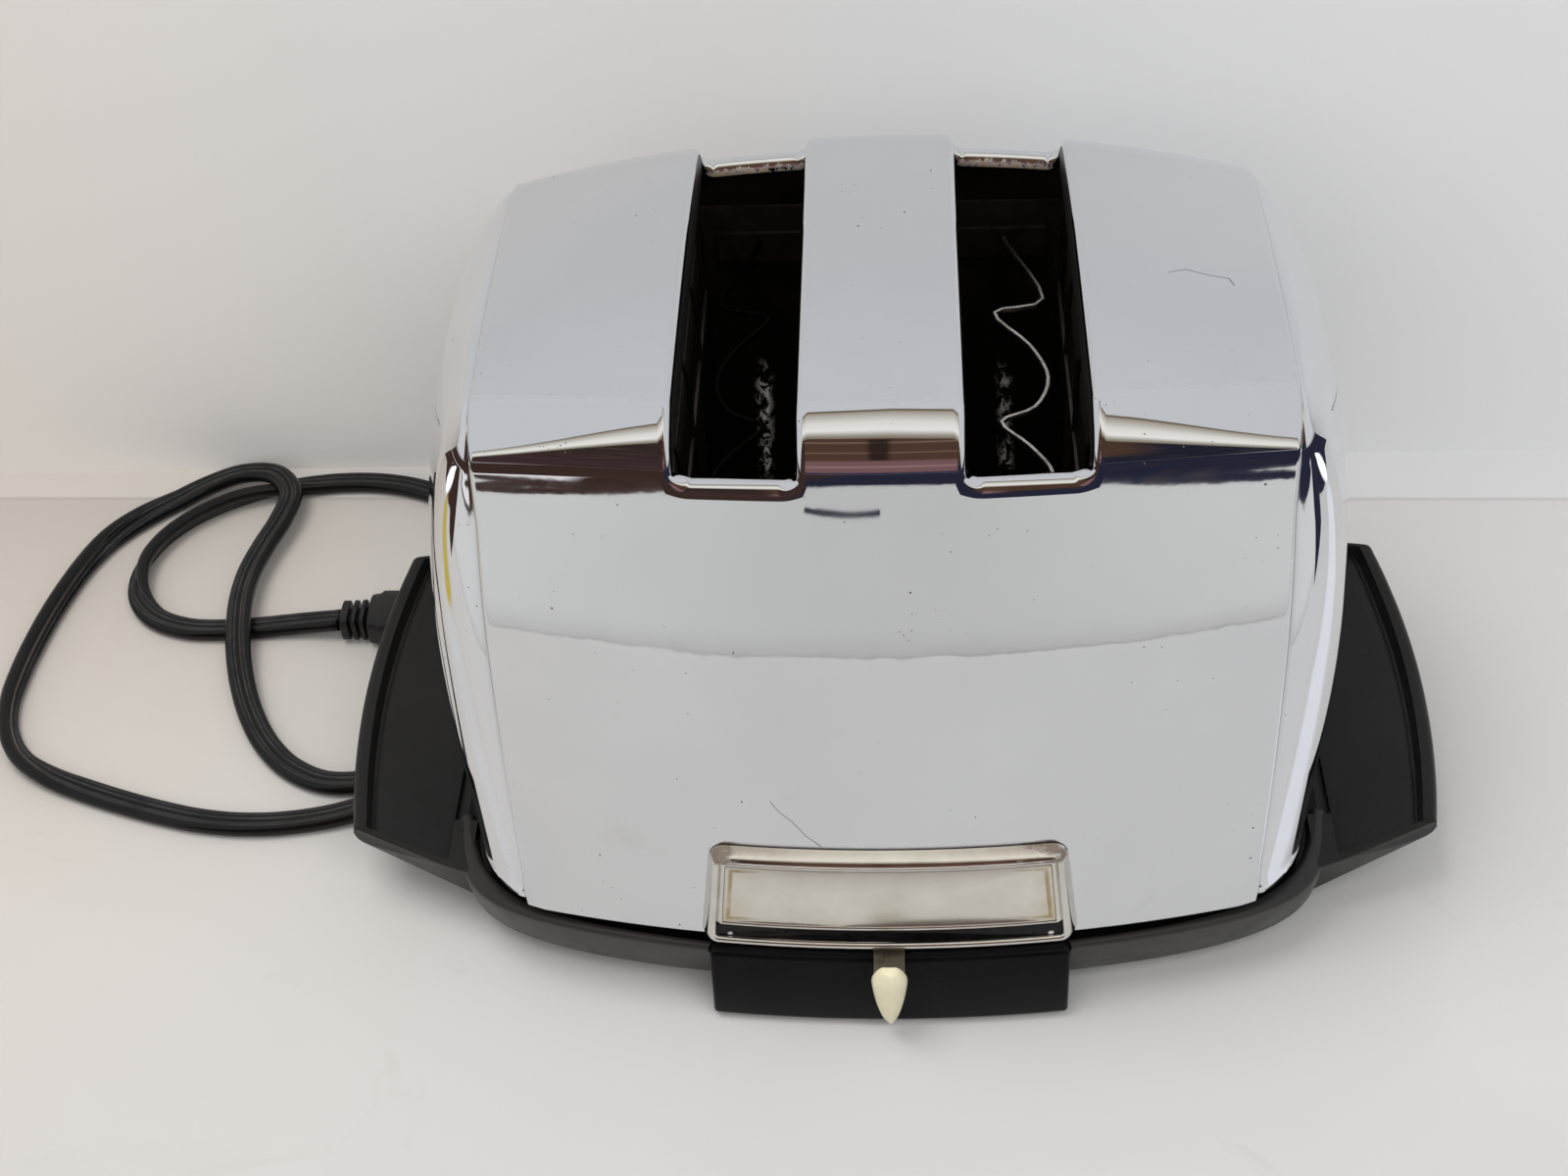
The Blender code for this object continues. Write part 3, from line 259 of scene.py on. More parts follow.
PHENOLIC = moulded_finish("phenolic", (0.0090, 0.0085, 0.0083), 0.33, dust=0.04, specular=0.20)
# The rim is the same phenolic as the wings in a lighter copy: painted light on its outer wall.
LIT_RIM_PHENOLIC = moulded_finish("phenolic_rim_lit", (0.0165, 0.0155, 0.0148), 0.36, dust=0.06, specular=0.34)
GLOSS = moulded_finish("gloss_black", (0.0028, 0.0028, 0.0032), 0.10, 0.05, dust=0.06, specular=0.10)
RUBBER = moulded_finish("rubber", (0.007, 0.007, 0.0075), 0.42, 0.14, dust=0.03, specular=0.35)
STEEL = metal_finish("plated_steel", (0.50, 0.48, 0.45), 0.36)
DARK_STEEL = metal_finish("dark_steel", (0.20, 0.18, 0.165), 0.40, (0.03, 0.018, 0.01), 0.5)
# A near-black copy of the rack wire for the left rack: painted shade for the dark left slot.
SHADED_WIRE = metal_finish("shaded_rack_wire", (0.008, 0.007, 0.006), 0.6, (0.004, 0.003, 0.002))
BRASS = metal_finish("brass", (0.70, 0.50, 0.22), 0.30, (0.16, 0.09, 0.04), 0.5)
WIRE = metal_finish("rack_wire", (0.62, 0.60, 0.56), 0.30, (0.16, 0.10, 0.06), 0.6)
INSIDE = dark_inside("near_black_inside")


def ceramic_finish():
    f = Finish("ceramic")
    spots = f.specks(3.0, 0.3, 0.15)
    base = f.mix(f.noise(8, 4.0, 0.6), (0.60, 0.56, 0.48), (0.70, 0.67, 0.60))
    base = f.mix(f.math("MULTIPLY", spots, 0.5), base, (0.25, 0.18, 0.12))
    return f.set(Base_Color=base, Roughness=f.range(f.noise(3), 0.3, 0.7, 0.45, 0.6), Normal=f.bump(f.noise(0.7), 0.02))


def mica_finish():
    """Sheet with a flat ribbon wound across it, in near-black colours."""
    f = Finish("mica")
    height = f.node("ShaderNodeSeparateXYZ", {0: f.coords}).outputs["Z"]
    wave = f.math("SINE", f.math("MULTIPLY", height, 2 * math.pi / (4.4 * MM)))
    ribbon = f.range(wave, 0.2, 0.45)
    sheet = f.mix(f.noise(5, 5.0, 0.6), (0.010, 0.007, 0.004), (0.028, 0.018, 0.010))
    base = f.mix(ribbon, sheet, f.mix(f.noise(3, 3.0), (0.020, 0.016, 0.013), (0.040, 0.032, 0.026)))
    return f.set(Base_Color=base, Roughness=f.range(ribbon, 0, 1, 0.65, 0.45), Normal=f.bump(ribbon, 0.12, 0.8))


CERAMIC, MICA = ceramic_finish(), mica_finish()


# ---------------------------------------------------------------- mesh building
def link(obj, body="housing", replaces=()):
    bpy.context.scene.collection.objects.link(obj)
    if body:
        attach(obj, body)
    if replaces:
        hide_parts(*replaces)
    return obj


def to_object(name, bm, mats, angle=None, recalc=True, thickness=None, inner=False):
    bmesh.ops.remove_doubles(bm, verts=bm.verts, dist=2e-7)
    if recalc:
        bmesh.ops.recalc_face_normals(bm, faces=bm.faces)
    mesh = bpy.data.meshes.new(name)
    bm.to_mesh(mesh)
    bm.free()
    mesh.shade_smooth()
    if angle is not None:
        mesh.set_sharp_from_angle(angle=math.radians(angle))
    obj = bpy.data.objects.new(name, mesh)
    for mat in (mats if isinstance(mats, (list, tuple)) else [mats]):
        mesh.materials.append(mat)
    if thickness:
        mod = obj.modifiers.new("sheet", "SOLIDIFY")
        mod.thickness = thickness * MM
        mod.offset = -1.0
        mod.use_rim = True
        if inner:
            mod.material_offset = 1
            mod.material_offset_rim = 0
    return obj


def bridge(bm, loops, closed=True):
    """Quads between loops of equal count."""
    rings = [[p if isinstance(p, bmesh.types.BMVert) else bm.verts.new(p) for p in loop] for loop in loops]
    count = len(rings[0])
    for low, high in zip(rings, rings[1:]):
        for i in range(count if closed else count - 1):
            k = (i + 1) % count
            corners = [low[i], low[k], high[k], high[i]]
            if len(set(corners)) == 4:
                bm.faces.new(corners)
    return rings


def lofted(name, loops, mats, caps=True, angle=40, into=None):
    """Closed loops (millimetres) skinned in order, with capped ends."""
    bm = bmesh.new()
    rings = bridge(bm, [[at(p) for p in loop] for loop in loops])
    if caps:
        bm.faces.new(rings[0][::-1])
        bm.faces.new(rings[-1])
    return to_object(name, bm, mats, angle)


def through(points, steps):
    """Points along a smooth curve through the given ones."""
    pts = [Vector(p) for p in points]
    pts = [2 * pts[0] - pts[1]] + pts + [2 * pts[-1] - pts[-2]]
    out = []
    for i in range(1, len(pts) - 2):
        a, b, c, d = pts[i - 1:i + 3]
        for s in range(steps):
            t = s / steps
            out.append(0.5 * ((2 * b) + (c - a) * t + (2 * a - 5 * b + 4 * c - d) * t * t
                              + (3 * b - a - 3 * c + d) * t ** 3))
    out.append(pts[-2])
    return out


def even(points, spacing):
    """The smooth curve through the points, read off at even steps."""
    fine = through(points, 12)
    lengths = [0.0]
    for a, b in zip(fine, fine[1:]):
        lengths.append(lengths[-1] + (b - a).length)
    count = max(2, round(lengths[-1] / spacing))
    out, k = [], 0
    for i in range(count + 1):
        want = lengths[-1] * i / count
        while k < len(lengths) - 2 and lengths[k + 1] < want:
            k += 1
        t = (want - lengths[k]) / max(1e-9, lengths[k + 1] - lengths[k])
        out.append(fine[k].lerp(fine[k + 1], min(1.0, max(0.0, t))))
    return out, lengths[-1]


def relaxed(points, passes):
    pts = [Vector(p) for p in points]
    for _ in range(passes):
        pts = [pts[0], pts[1]] + [(pts[i - 1] + 4 * pts[i] + pts[i + 1]) / 6 for i in range(2, len(pts) - 2)] + [pts[-2], pts[-1]]
    return pts


def smoothstep(low, high, value):
    t = min(1.0, max(0.0, (value - low) / (high - low)))
    return t * t * (3 - 2 * t)


# ---------------------------------------------------------------- flat cord, plug and strain relief
CORD_W, CORD_T, CORD_Z = 8.4, 4.6, 2.45
ROUTE = [(-146.8, -24.0, 5.9), (-155.0, -24.6, 3.9), (-165.5, -28.2, 2.6), (-186.4, -32.4, 2.4), (-208.4, -31.6, 2.4),
         (-231.8, -25.3, 2.4), (-256.4, -16.0, 2.4), (-273.0, -7.4, 2.4), (-282.8, 7.8, 2.4), (-285.4, 28.8, 2.4),
         (-281.7, 65.0, 2.4), (-271.7, 97.4, 2.4), (-252.3, 118.8, 2.6), (-233.9, 128.8, 5.4), (-217.0, 126.6, 7.6),
         (-209.4, 112.6, 7.6), (-213.6, 96.0, 6.8), (-217.9, 73.5, 6.6), (-215.5, 48.8, 7.6), (-210.0, 25.8, 4.4),
         (-199.0, 2.8, 2.5), (-184.0, -12.5, 2.4), (-169.6, -16.6, 2.4), (-152.0, -11.6, 2.4), (-138.5, 2.0, 2.4),
         (-129.0, 24.0, 2.4), (-125.0, 50.0, 2.4), (-127.0, 78.0, 2.4), (-139.5, 105.0, 2.4), (-161.0, 120.8, 2.4),
         (-182.2, 126.8, 2.4), (-202.4, 126.3, 2.4), (-220.6, 121.8, 2.4), (-237.8, 113.3, 2.4), (-251.1, 99.7, 2.4),
         (-257.1, 82.8, 2.4), (-254.4, 67.0, 2.4), (-243.5, 55.8, 2.4), (-228.0, 52.3, 2.4), (-212.8, 53.2, 2.4),
         (-198.7, 54.2, 3.0), (-189.5, 53.6, 4.9), (-181.9, 53.0, 6.0)]
fine_route, _ = even(ROUTE, 6.0)
fine_route = relaxed(fine_route, 2)
coarse_route, CORD_LENGTH = even(fine_route, 13.4)
for p in coarse_route:
    p.z = max(p.z, CORD_Z)
smooth_route = through(coarse_route, 5)


def cord_section(count=60):
    """Two round cores side by side with a groove along each face and a shallow furrow on each core."""
    loop = []
    for k in range(count):
        a = 2 * math.pi * (k + 0.5) / count
        c, s = math.cos(a), math.sin(a)
        x = CORD_W / 2 * math.copysign(abs(c) ** 0.86, c)
        core = CORD_W / 2 - CORD_T / 2
        off = max(0.0, abs(x) - core)
        y = CORD_T / 2 * math.sqrt(max(0.0, 1 - (off / (CORD_T / 2)) ** 2))
        y -= 1.40 * math.exp(-(x / 0.60) ** 2)
        y -= 0.30 * math.exp(-((abs(x) - 1.30) / 0.34) ** 2)
        loop.append((x, math.copysign(y, s)))
    return loop


TURNED = ((0.118, 0.330, 1.38), (0.800, 0.925, 1.15))     # stretches of the run where the cord stands on its edge


def cord_twist(t):
    """How far the cord is turned on its side along its run, in radians."""
    turn = 0.0
    for start, end, most in TURNED:
        ease = 0.34 * (end - start)
        turn += most * smoothstep(start, start + ease, t) * (1 - smoothstep(end - ease, end, t))
    return turn


section = cord_section()
for i, p in enumerate(smooth_route):
    w = cord_twist(i / (len(smooth_route) - 1))
    lowest = max(-(x * math.sin(w) + y * math.cos(w)) for x, y in section)
    p.z = max(p.z, lowest + 0.12)
bm = bmesh.new()
crest = bm.verts.layers.float.new("crest")
rings = []
for i, p in enumerate(smooth_route):
    q0, q1 = smooth_route[max(0, i - 1)], smooth_route[min(len(smooth_route) - 1, i + 1)]
    along = (q1 - q0).normalized()
    side = Vector((0, 0, 1)).cross(along).normalized()
    top = along.cross(side)
    w = cord_twist(i / (len(smooth_route) - 1))
    side, top = math.cos(w) * side + math.sin(w) * top, -math.sin(w) * side + math.cos(w) * top
    rings.append([at(p + side * x + top * y) for x, y in section])
rings = bridge(bm, rings)
bm.faces.new(rings[0][::-1])
bm.faces.new(rings[-1])
# The crest value peaks on the cores' ridges and is lowest in the middle groove.
for ring in rings:
    for v, (x, y) in zip(ring, section):
        v[crest] = 0.5 + 0.5 * math.exp(-((abs(x) - 0.85) / 0.25) ** 2) + 0.3 * math.exp(-((abs(x) - 2.1) / 0.4) ** 2) - 0.5 * math.exp(-(x / 0.40) ** 2)

CORD_SKIN = Finish("cord_skin")
# Painted highlight: the ridges are mixed towards grey, more in some stretches than in others.
crest_highlight = CORD_SKIN.math("MULTIPLY", CORD_SKIN.range(CORD_SKIN.attribute("crest"), 0.55, 1.0), CORD_SKIN.range(CORD_SKIN.noise(9, 3.0, 0.6), 0.35, 0.6, 0.35, 1.0))
cord_noise = CORD_SKIN.noise(2.4, 3.0, 0.6)
cord_black = CORD_SKIN.mix(CORD_SKIN.range(CORD_SKIN.noise(16, 4.0, 0.6), 0.3, 0.7), (0.0022, 0.0022, 0.0025), (0.0050, 0.0050, 0.0055))
cord_black = CORD_SKIN.mix(CORD_SKIN.math("MULTIPLY", crest_highlight, 0.85), cord_black, (0.060, 0.060, 0.062))
CORD_SKIN.set(Base_Color=cord_black,
              Specular_IOR_Level=0.28, Roughness=CORD_SKIN.range(cord_noise, 0.3, 0.7, 0.15, 0.27), Normal=CORD_SKIN.bump(cord_noise, 0.02, 0.5))
cord = link(to_object("flat_cord", bm, CORD_SKIN.mat), "housing", ["cord"])


def oval(x, y, z, wide, tall, power=3.2, count=40):
    loop = []
    for k in range(count):
        a = 2 * math.pi * k / count
        c, s = math.cos(a), math.sin(a)
        f = 1.0 / (abs(c) ** power + abs(s) ** power) ** (1 / power)
        loop.append((x, y + wide / 2 * c * f, z + tall / 2 * s * f))
    return loop


def rounded_stack(rows, y, r=0.35, power=3.2, count=40):
    """Ovals along x, one for each row."""
    loops = []
    for n, (x, wide, tall, z) in enumerate(rows):
        loops.append(oval(x, y, z, wide, tall, power, count))
    return loops


# plug: three thin fins on a neck, then a stepped body with flats
PLUG_Y = 53.0
rows = [(-181.4, 8.8, 5.2, 6.0), (-181.2, 9.4, 5.8, 6.0)]
for x0, x1, wide, tall in ((-181.1, -178.3, 11.6, 9.8), (-177.3, -175.5, 11.8, 10.0), (-174.5, -172.7, 12.0, 10.4)):
    x0, x1 = x0 + 0.05, x1 - 0.05
    rows += [(x0, 6.6, 5.6, 6.0), (x0 + 0.02, wide - 0.7, tall - 0.7, 6.0), (x0 + 0.3, wide, tall, 6.0),
             (x1 - 0.3, wide, tall, 6.0), (x1 - 0.02, wide - 0.7, tall - 0.7, 6.0), (x1, 6.6, 5.6, 6.0)]
rows += [(-171.7, 8.6, 7.4, 6.2), (-171.6, 14.6, 10.2, 6.4), (-171.2, 15.6, 11.2, 6.4), (-168.4, 16.4, 11.8, 6.4),
         (-168.0, 18.0, 12.1, 6.4), (-167.3, 18.6, 12.4, 6.4), (-160.2, 18.6, 12.4, 6.4), (-159.9, 17.8, 11.9, 6.4),
         (-158.9, 17.8, 11.9, 6.4), (-158.6, 18.6, 12.4, 6.4), (-151.3, 18.6, 12.4, 6.4), (-150.5, 18.2, 12.0, 6.4), (-150.0, 17.0, 11.0, 6.4)]
plug = link(lofted("plug_moulding", rounded_stack(rows, PLUG_Y, power=4.5), RUBBER, angle=34), "housing", ["plug_body"])
for n, dy in enumerate((-6.35, 6.35)):
    bm = bmesh.new()
    loops = []
    for x, w, h in ((-149.8, 0.75, 3.15), (-136.2, 0.75, 3.15), (-134.8, 0.70, 2.6), (-134.05, 0.35, 1.9)):
        loops.append([(x, PLUG_Y + dy + sy * w, 6.4 + sz * h) for sy, sz in ((-1, -1), (1, -1), (1, 1), (-1, 1))])
    blade = lofted(f"plug_blade_{n + 1}", loops, BRASS, angle=30)
    hole = bmesh.new()
    mod = blade.modifiers.new("edge", "BEVEL")
    mod.width = 0.12 * MM
    mod.segments = 2
    mod.limit_method = "ANGLE"
    link(blade, "housing", [f"plug_prong_{n + 1}"])
    hole.free()

GLAND_Y = -24.0
rows = [(-113.5, 13.0, 9.6, 8.2), (-113.8, 13.5, 10.0, 8.2), (-115.8, 13.5, 10.0, 8.2), (-116.1, 13.0, 9.6, 8.2), (-116.3, 11.0, 8.2, 8.2),
        (-125.4, 11.0, 8.2, 8.0), (-125.7, 12.0, 9.0, 8.0), (-126.1, 12.6, 9.4, 8.0), (-128.3, 12.6, 9.4, 7.8), (-128.8, 12.0, 8.8, 7.8)]
for n in range(6):
    x = -129.4 - n * 2.6
    t = n / 6
    wide, tall, z = 11.2 - 1.6 * t, 7.8 - 1.7 * t, 7.6 - 1.3 * t
    rows += [(x, wide - 1.3, tall - 1.1, z), (x - 0.25, wide, tall, z), (x - 1.7, wide - 0.2, tall - 0.1, z - 0.15), (x - 1.95, wide - 1.3, tall - 1.1, z - 0.2)]
rows += [(-145.2, 9.2, 5.7, 6.1), (-146.0, 8.8, 5.3, 6.0)]
gland = link(lofted("strain_relief", rounded_stack(rows, GLAND_Y), RUBBER, angle=34), "housing", ["cord_gland"])

[tuple(at(p)) for p in smooth_route]


# ---------------------------------------------------------------- the shell's surface
SHEET = 0.9
BAND_HALF, BAND_BOTTOM = 101.3, 28.3
FACE_LEAN = 0.19
SHOULDER_Y, SHOULDER_Z, SHOULDER_R, CROWN_Z = 55.15, 167.74, 16.0, 185.3
PLAN_BOW, CROWN_DROP = 0.00122, 5.6
SLOT_IN, SLOT_OUT = 20.3, 50.2
LIP_FRONT, LIP_BACK = 166.5, 171.5

lean = math.atan(FACE_LEAN)
face_n = (-math.cos(lean), math.sin(lean))
tangent = (-SHOULDER_Y + SHOULDER_R * face_n[0], SHOULDER_Z + SHOULDER_R * face_n[1])
crown_fall = (CROWN_Z - (SHOULDER_Z + SHOULDER_R)) / SHOULDER_Y ** 2
first_a, last_a = math.atan2(face_n[1], face_n[0]), math.pi / 2 + 2 * crown_fall * SHOULDER_Y
L_FACE = (tangent[1] - BAND_BOTTOM) / math.cos(lean)
L_ARC = SHOULDER_R * (first_a - last_a)
ARC_END_Y = -SHOULDER_Y + SHOULDER_R * math.cos(last_a)
L_CROWN = -ARC_END_Y
HALF = L_FACE + L_ARC + L_CROWN


def profile(s):
    """(y, z) of the centre line at distance s from the front lower edge."""
    if s > HALF:
        y, z = profile(2 * HALF - s)
        return -y, z
    if s <= L_FACE:
        z = BAND_BOTTOM + s * math.cos(lean)
        return tangent[0] - FACE_LEAN * (tangent[1] - z), z
    if s <= L_FACE + L_ARC:
        a = first_a - (s - L_FACE) / SHOULDER_R
        return -SHOULDER_Y + SHOULDER_R * math.cos(a), SHOULDER_Z + SHOULDER_R * math.sin(a)
    y = ARC_END_Y + (s - L_FACE - L_ARC)
    return y, CROWN_Z - crown_fall * y * y


def bowed(x, y, z):
    side = -1 if y < 0 else 1
    y -= side * PLAN_BOW * x * x * min(1.0, abs(y) / SHOULDER_Y)
    rise = min(1.0, max(0.0, (z - BAND_BOTTOM) / (SHOULDER_Z - BAND_BOTTOM)))
    return Vector((x, y, z - CROWN_DROP * (abs(x) / BAND_HALF) ** 3 * rise))


def band_half(z):
    fall = 0.00033 if z < 110 else 0.00075
    return BAND_HALF + max(-0.5 if z < 110 else 0.0, 1.5 - fall * (z - 110) ** 2)


def skin(u, s):
    """Point of the shell's outer surface."""
    y, z = profile(s)
    x = u
    if abs(u) > 60:
        x += math.copysign((band_half(z) - BAND_HALF) * (abs(u) - 60) / (BAND_HALF - 60), u)
    return bowed(x, y, z)


def skin_normal(u, s):
    e = 0.25
    du = skin(u + e, s) - skin(u - e, s)
    ds = skin(u, s + e) - skin(u, s - e)
    return du.cross(ds).normalized()


def face_y(x, z):
    return tangent[0] - FACE_LEAN * (tangent[1] - z) + PLAN_BOW * x * x


def spaced(low, high, target):
    count = max(1, round((high - low) / target))
    return [low + (high - low) * k / count for k in range(count)]


def nearest_on_round_rect(q, low, high, r, outward=True):
    """Closest point of a rounded rectangle's outline and the direction from it, away from the inside."""
    cx = min(max(q[0], low[0] + r), high[0] - r)
    cy = min(max(q[1], low[1] + r), high[1] - r)
    dx, dy = q[0] - cx, q[1] - cy
    if abs(dx) < 1e-9 and abs(dy) < 1e-9:
        gaps = [(q[0] - low[0], (-1, 0)), (high[0] - q[0], (1, 0)), (q[1] - low[1], (0, -1)), (high[1] - q[1], (0, 1))]
        gap, way = min(gaps)
        return ((low[0] if way[0] < 0 else high[0] if way[0] > 0 else q[0]),
                (low[1] if way[1] < 0 else high[1] if way[1] > 0 else q[1])), way
    d = math.hypot(dx, dy)
    way = (dx / d, dy / d)
    return (cx + way[0] * r, cy + way[1] * r), way


def outline_of(us, ss):
    """Indices of the grid's border, counter-clockwise, as (i, j)."""
    n, m = len(us) - 1, len(ss) - 1
    return ([(i, 0) for i in range(n)] + [(n, j) for j in range(m)] + [(i, m) for i in range(n, 0, -1)]
            + [(0, j) for j in range(m, 0, -1)])


S_FRONT = (LIP_FRONT - BAND_BOTTOM) / math.cos(lean)
S_BACK = 2 * HALF - (L_FACE + SHOULDER_R * (first_a - (math.pi - math.asin((LIP_BACK - SHOULDER_Z) / SHOULDER_R))))
ROLL_SIDE, ROLL_LIP = 1.9, 3.0
MARGIN = 4.5
HOLE_IN, HOLE_OUT = SLOT_IN - ROLL_SIDE, SLOT_OUT + ROLL_SIDE
EDGE = 1.25                # radius of the sheet's outer edge
INSET = 3.0

u_lines = []
for lo, hi, step in ((-BAND_HALF + INSET, -HOLE_OUT - MARGIN, 3.0), (-HOLE_OUT - MARGIN, -HOLE_OUT + 8, 0.8), (-HOLE_OUT + 8, -HOLE_IN - 8, 3.0),
                     (-HOLE_IN - 8, -HOLE_IN + MARGIN, 0.8), (-HOLE_IN + MARGIN, HOLE_IN - MARGIN, 3.0), (HOLE_IN - MARGIN, HOLE_IN + 8, 0.8),
                     (HOLE_IN + 8, HOLE_OUT - 8, 3.0), (HOLE_OUT - 8, HOLE_OUT + MARGIN, 0.8), (HOLE_OUT + MARGIN, BAND_HALF - INSET, 3.0)):
    u_lines += spaced(lo, hi, step)
u_lines.append(BAND_HALF - INSET)
s_lines = []
for lo, hi, step in ((INSET, S_FRONT - MARGIN, 4.0), (S_FRONT - MARGIN, L_FACE + L_ARC + 2, 0.75), (L_FACE + L_ARC + 2, 2 * HALF - L_FACE - L_ARC - 2, 4.0),
                     (2 * HALF - L_FACE - L_ARC - 2, S_BACK + MARGIN, 0.75), (S_BACK + MARGIN, 2 * HALF - INSET, 4.0)):
    s_lines += spaced(lo, hi, step)
s_lines.append(2 * HALF - INSET)


def index_of(lines, value):
    return min(range(len(lines)), key=lambda k: abs(lines[k] - value))


def build_shell():
    bm = bmesh.new()
    wear = bm.verts.layers.float.new("wear")
    # The second layer holds painted shade.
    painted_shade = bm.verts.layers.float.new("painted_shade")
    grid = {}
    holes = []
    for lo, hi in ((-HOLE_OUT, -HOLE_IN), (HOLE_IN, HOLE_OUT)):
        holes.append((index_of(u_lines, lo - MARGIN), index_of(u_lines, hi + MARGIN),
                      index_of(s_lines, S_FRONT - MARGIN), index_of(s_lines, S_BACK + MARGIN), lo, hi))

    def inside(i, j):
        return any(a < i < b and c < j < d for a, b, c, d, _, _ in holes)

    for i, u in enumerate(u_lines):
        for j, s in enumerate(s_lines):
            if not inside(i, j):
                grid[i, j] = bm.verts.new(at(skin(u, s)))
    for i in range(len(u_lines) - 1):
        for j in range(len(s_lines) - 1):
            if any(a <= i < b and c <= j < d for a, b, c, d, _, _ in holes):
                continue
            bm.faces.new((grid[i, j], grid[i + 1, j], grid[i + 1, j + 1], grid[i, j + 1]))

    def rim(border, low, high, r, hole, roll_of, flange_of, wear_of, painted_shade_of):
        """Rings from the border to a rounded outline, then the edge's roll and its turned-down flange."""
        loops = [[v for v, _ in border]]
        feet = []
        for _, q in border:
            foot, way = nearest_on_round_rect(q, low, high, r)
            if hole:
                way = (-way[0], -way[1])
            feet.append((q, foot, way))
        for t in (0.4, 0.75, 1.0):
            loops.append([bm.verts.new(at(skin(q[0] + (f[0] - q[0]) * t, q[1] + (f[1] - q[1]) * t))) for q, f, _ in feet])
        frames = []
        for q, f, way in feet:
            base, n = skin(*f), skin_normal(*f)
            e = 0.2
            g = skin(f[0] + way[0] * e, f[1] + way[1] * e) - base
            g = (g - n * g.dot(n)).normalized()
            frames.append((base, n, g, way))
        steps = 8
        ends = None
        for k in range(1, steps + 1):
            loop, ends = [], []
            for base, n, g, way in frames:
                radius, last = roll_of(base, n, g, way)
                a = last * k / steps
                p = base + g * radius * math.sin(a) - n * radius * (1 - math.cos(a))
                v = bm.verts.new(at(p))
                v[wear] = wear_of(base, way, k / steps)
                v[painted_shade] = painted_shade_of(base, way, k / steps)
                loop.append(v)
                ends.append((p, g * math.cos(a) - n * math.sin(a)))
            loops.append(loop)
        for share in (0.5, 1.0):
            loop = []
            for (p, d), (base, n, g, way) in zip(ends, frames):
                v = bm.verts.new(at(flange_of(p, d, base, way, share)))
                v[wear] = wear_of(base, way, 1.0 + share)
                v[painted_shade] = painted_shade_of(base, way, 1.0 + share)
                loop.append(v)
            loops.append(loop)
        bridge(bm, loops)

    for a, b, c, d, lo, hi in holes:
        border = []
        for i, j in outline_of(list(range(a, b + 1)), list(range(c, d + 1))):
            v = grid[a + i, c + j]
            border.append((v, (u_lines[a + i], s_lines[c + j])))

        def roll_of(base, n, g, way):
            w = smoothstep(0.25, 0.95, abs(way[1]))
            return ROLL_SIDE + (ROLL_LIP - ROLL_SIDE) * w, min(3.02, max(math.pi / 2, math.pi / 2 + math.atan2(g.z, max(n.z, 1e-3))))

        def flange_of(p, d, base, way, share):
            w = smoothstep(0.25, 0.95, abs(way[1]))
            low = 171.0 + ((161.0 if base.y < 0 else 170.6 + 0.4 * math.sin(base.x * 0.9)) - 171.0) * w
            return Vector((p.x, p.y, p.z + (min(low, p.z - 0.5) - p.z) * share))

        def wear_of(base, way, along):
            w = smoothstep(0.3, 0.95, abs(way[1]))
            back = 1.0 if base.y > 0 else 0.0
            lip = w * smoothstep(0.35, 1.0, along) * (0.48 + 0.12 * back)
            return max(lip, 0.40 * smoothstep(0.9, 1.1, along))

        # Painted shade along the slots' rolled edges and flanges; on the back lip only a weaker band low on the flange.
        def painted_shade_of(base, way, along):
            w = smoothstep(0.3, 0.95, abs(way[1]))
            back = w if base.y > 0 else 0.0
            return smoothstep(0.82, 1.05, along) * (1 - back) + 0.35 * back * smoothstep(1.2, 2.0, along)

        rim(border, (lo, S_FRONT), (hi, S_BACK), 6.0, True, roll_of, flange_of, wear_of, painted_shade_of)

    # The shell's outer edge rolls under; painted shade darkens the end of that roll.
    border = [(grid[i, j], (u_lines[i], s_lines[j])) for i, j in outline_of(u_lines, s_lines)]
    rim(border, (-BAND_HALF + EDGE, EDGE), (BAND_HALF - EDGE, 2 * HALF - EDGE), 2.0, False,
        lambda base, n, g, way: (EDGE, math.pi / 2),
        lambda p, d, base, way, share: p + d * 0.5 * share,
        lambda base, way, along: 0.0,
        lambda base, way, along: smoothstep(0.80, 1.0, along))
    bmesh.ops.remove_doubles(bm, verts=bm.verts, dist=1e-7)
    return bm


def on_face(x, z):
    return (x, face_y(x, z), z)


def on_crown(x, y):
    return tuple(bowed(x, y + math.copysign(PLAN_BOW * x * x * min(1, abs(y) / SHOULDER_Y), y), CROWN_Z - crown_fall * y * y))


SHELL_MARKS = [
    ([on_face(-30.5, 75.5), on_face(-28.6, 72.6), on_face(-25.0, 69.2), on_face(-21.4, 64.5), on_face(-17.4, 61.2)], 0.16),
    ([on_face(78.5, 152.3), on_face(84.0, 153.6)], 0.22),
    ([on_crown(73.0, -6.0), on_crown(77.5, -4.5), on_crown(83.0, -6.4), on_crown(88.0, -7.2)], 0.22),
    ([on_crown(88.0, -7.2), on_crown(89.0, -10.0)], 0.26),
    ([on_face(-84.0, 172.0), on_face(-80.0, 168.5)], 0.12),
    ([on_face(87.0, 144.0), on_face(93.4, 144.7), on_face(99.0, 142.1)], 0.17),
    ([on_face(90.5, 147.0), on_face(97.0, 143.4)], 0.13),
    ([on_face(89.0, 142.2), on_face(94.5, 139.6)], 0.12),
]
SHELL_PATCHES = [(on_face(6.0, 130.2), 6.5), (on_face(13.0, 130.6), 5.5), (on_face(93.0, 143.0), 6.0), ((50.3, -56.7, 181.2), 7.0),
                 ((-3.1, -35.7, 184.6), 4.5), ((-9.0, 33.0, 184.7), 5.0), ((-78.0, -62.0, 176.0), 6.0)]
CHROME_SHELL = chrome_finish("chrome_shell", marks=SHELL_MARKS, patches=SHELL_PATCHES)
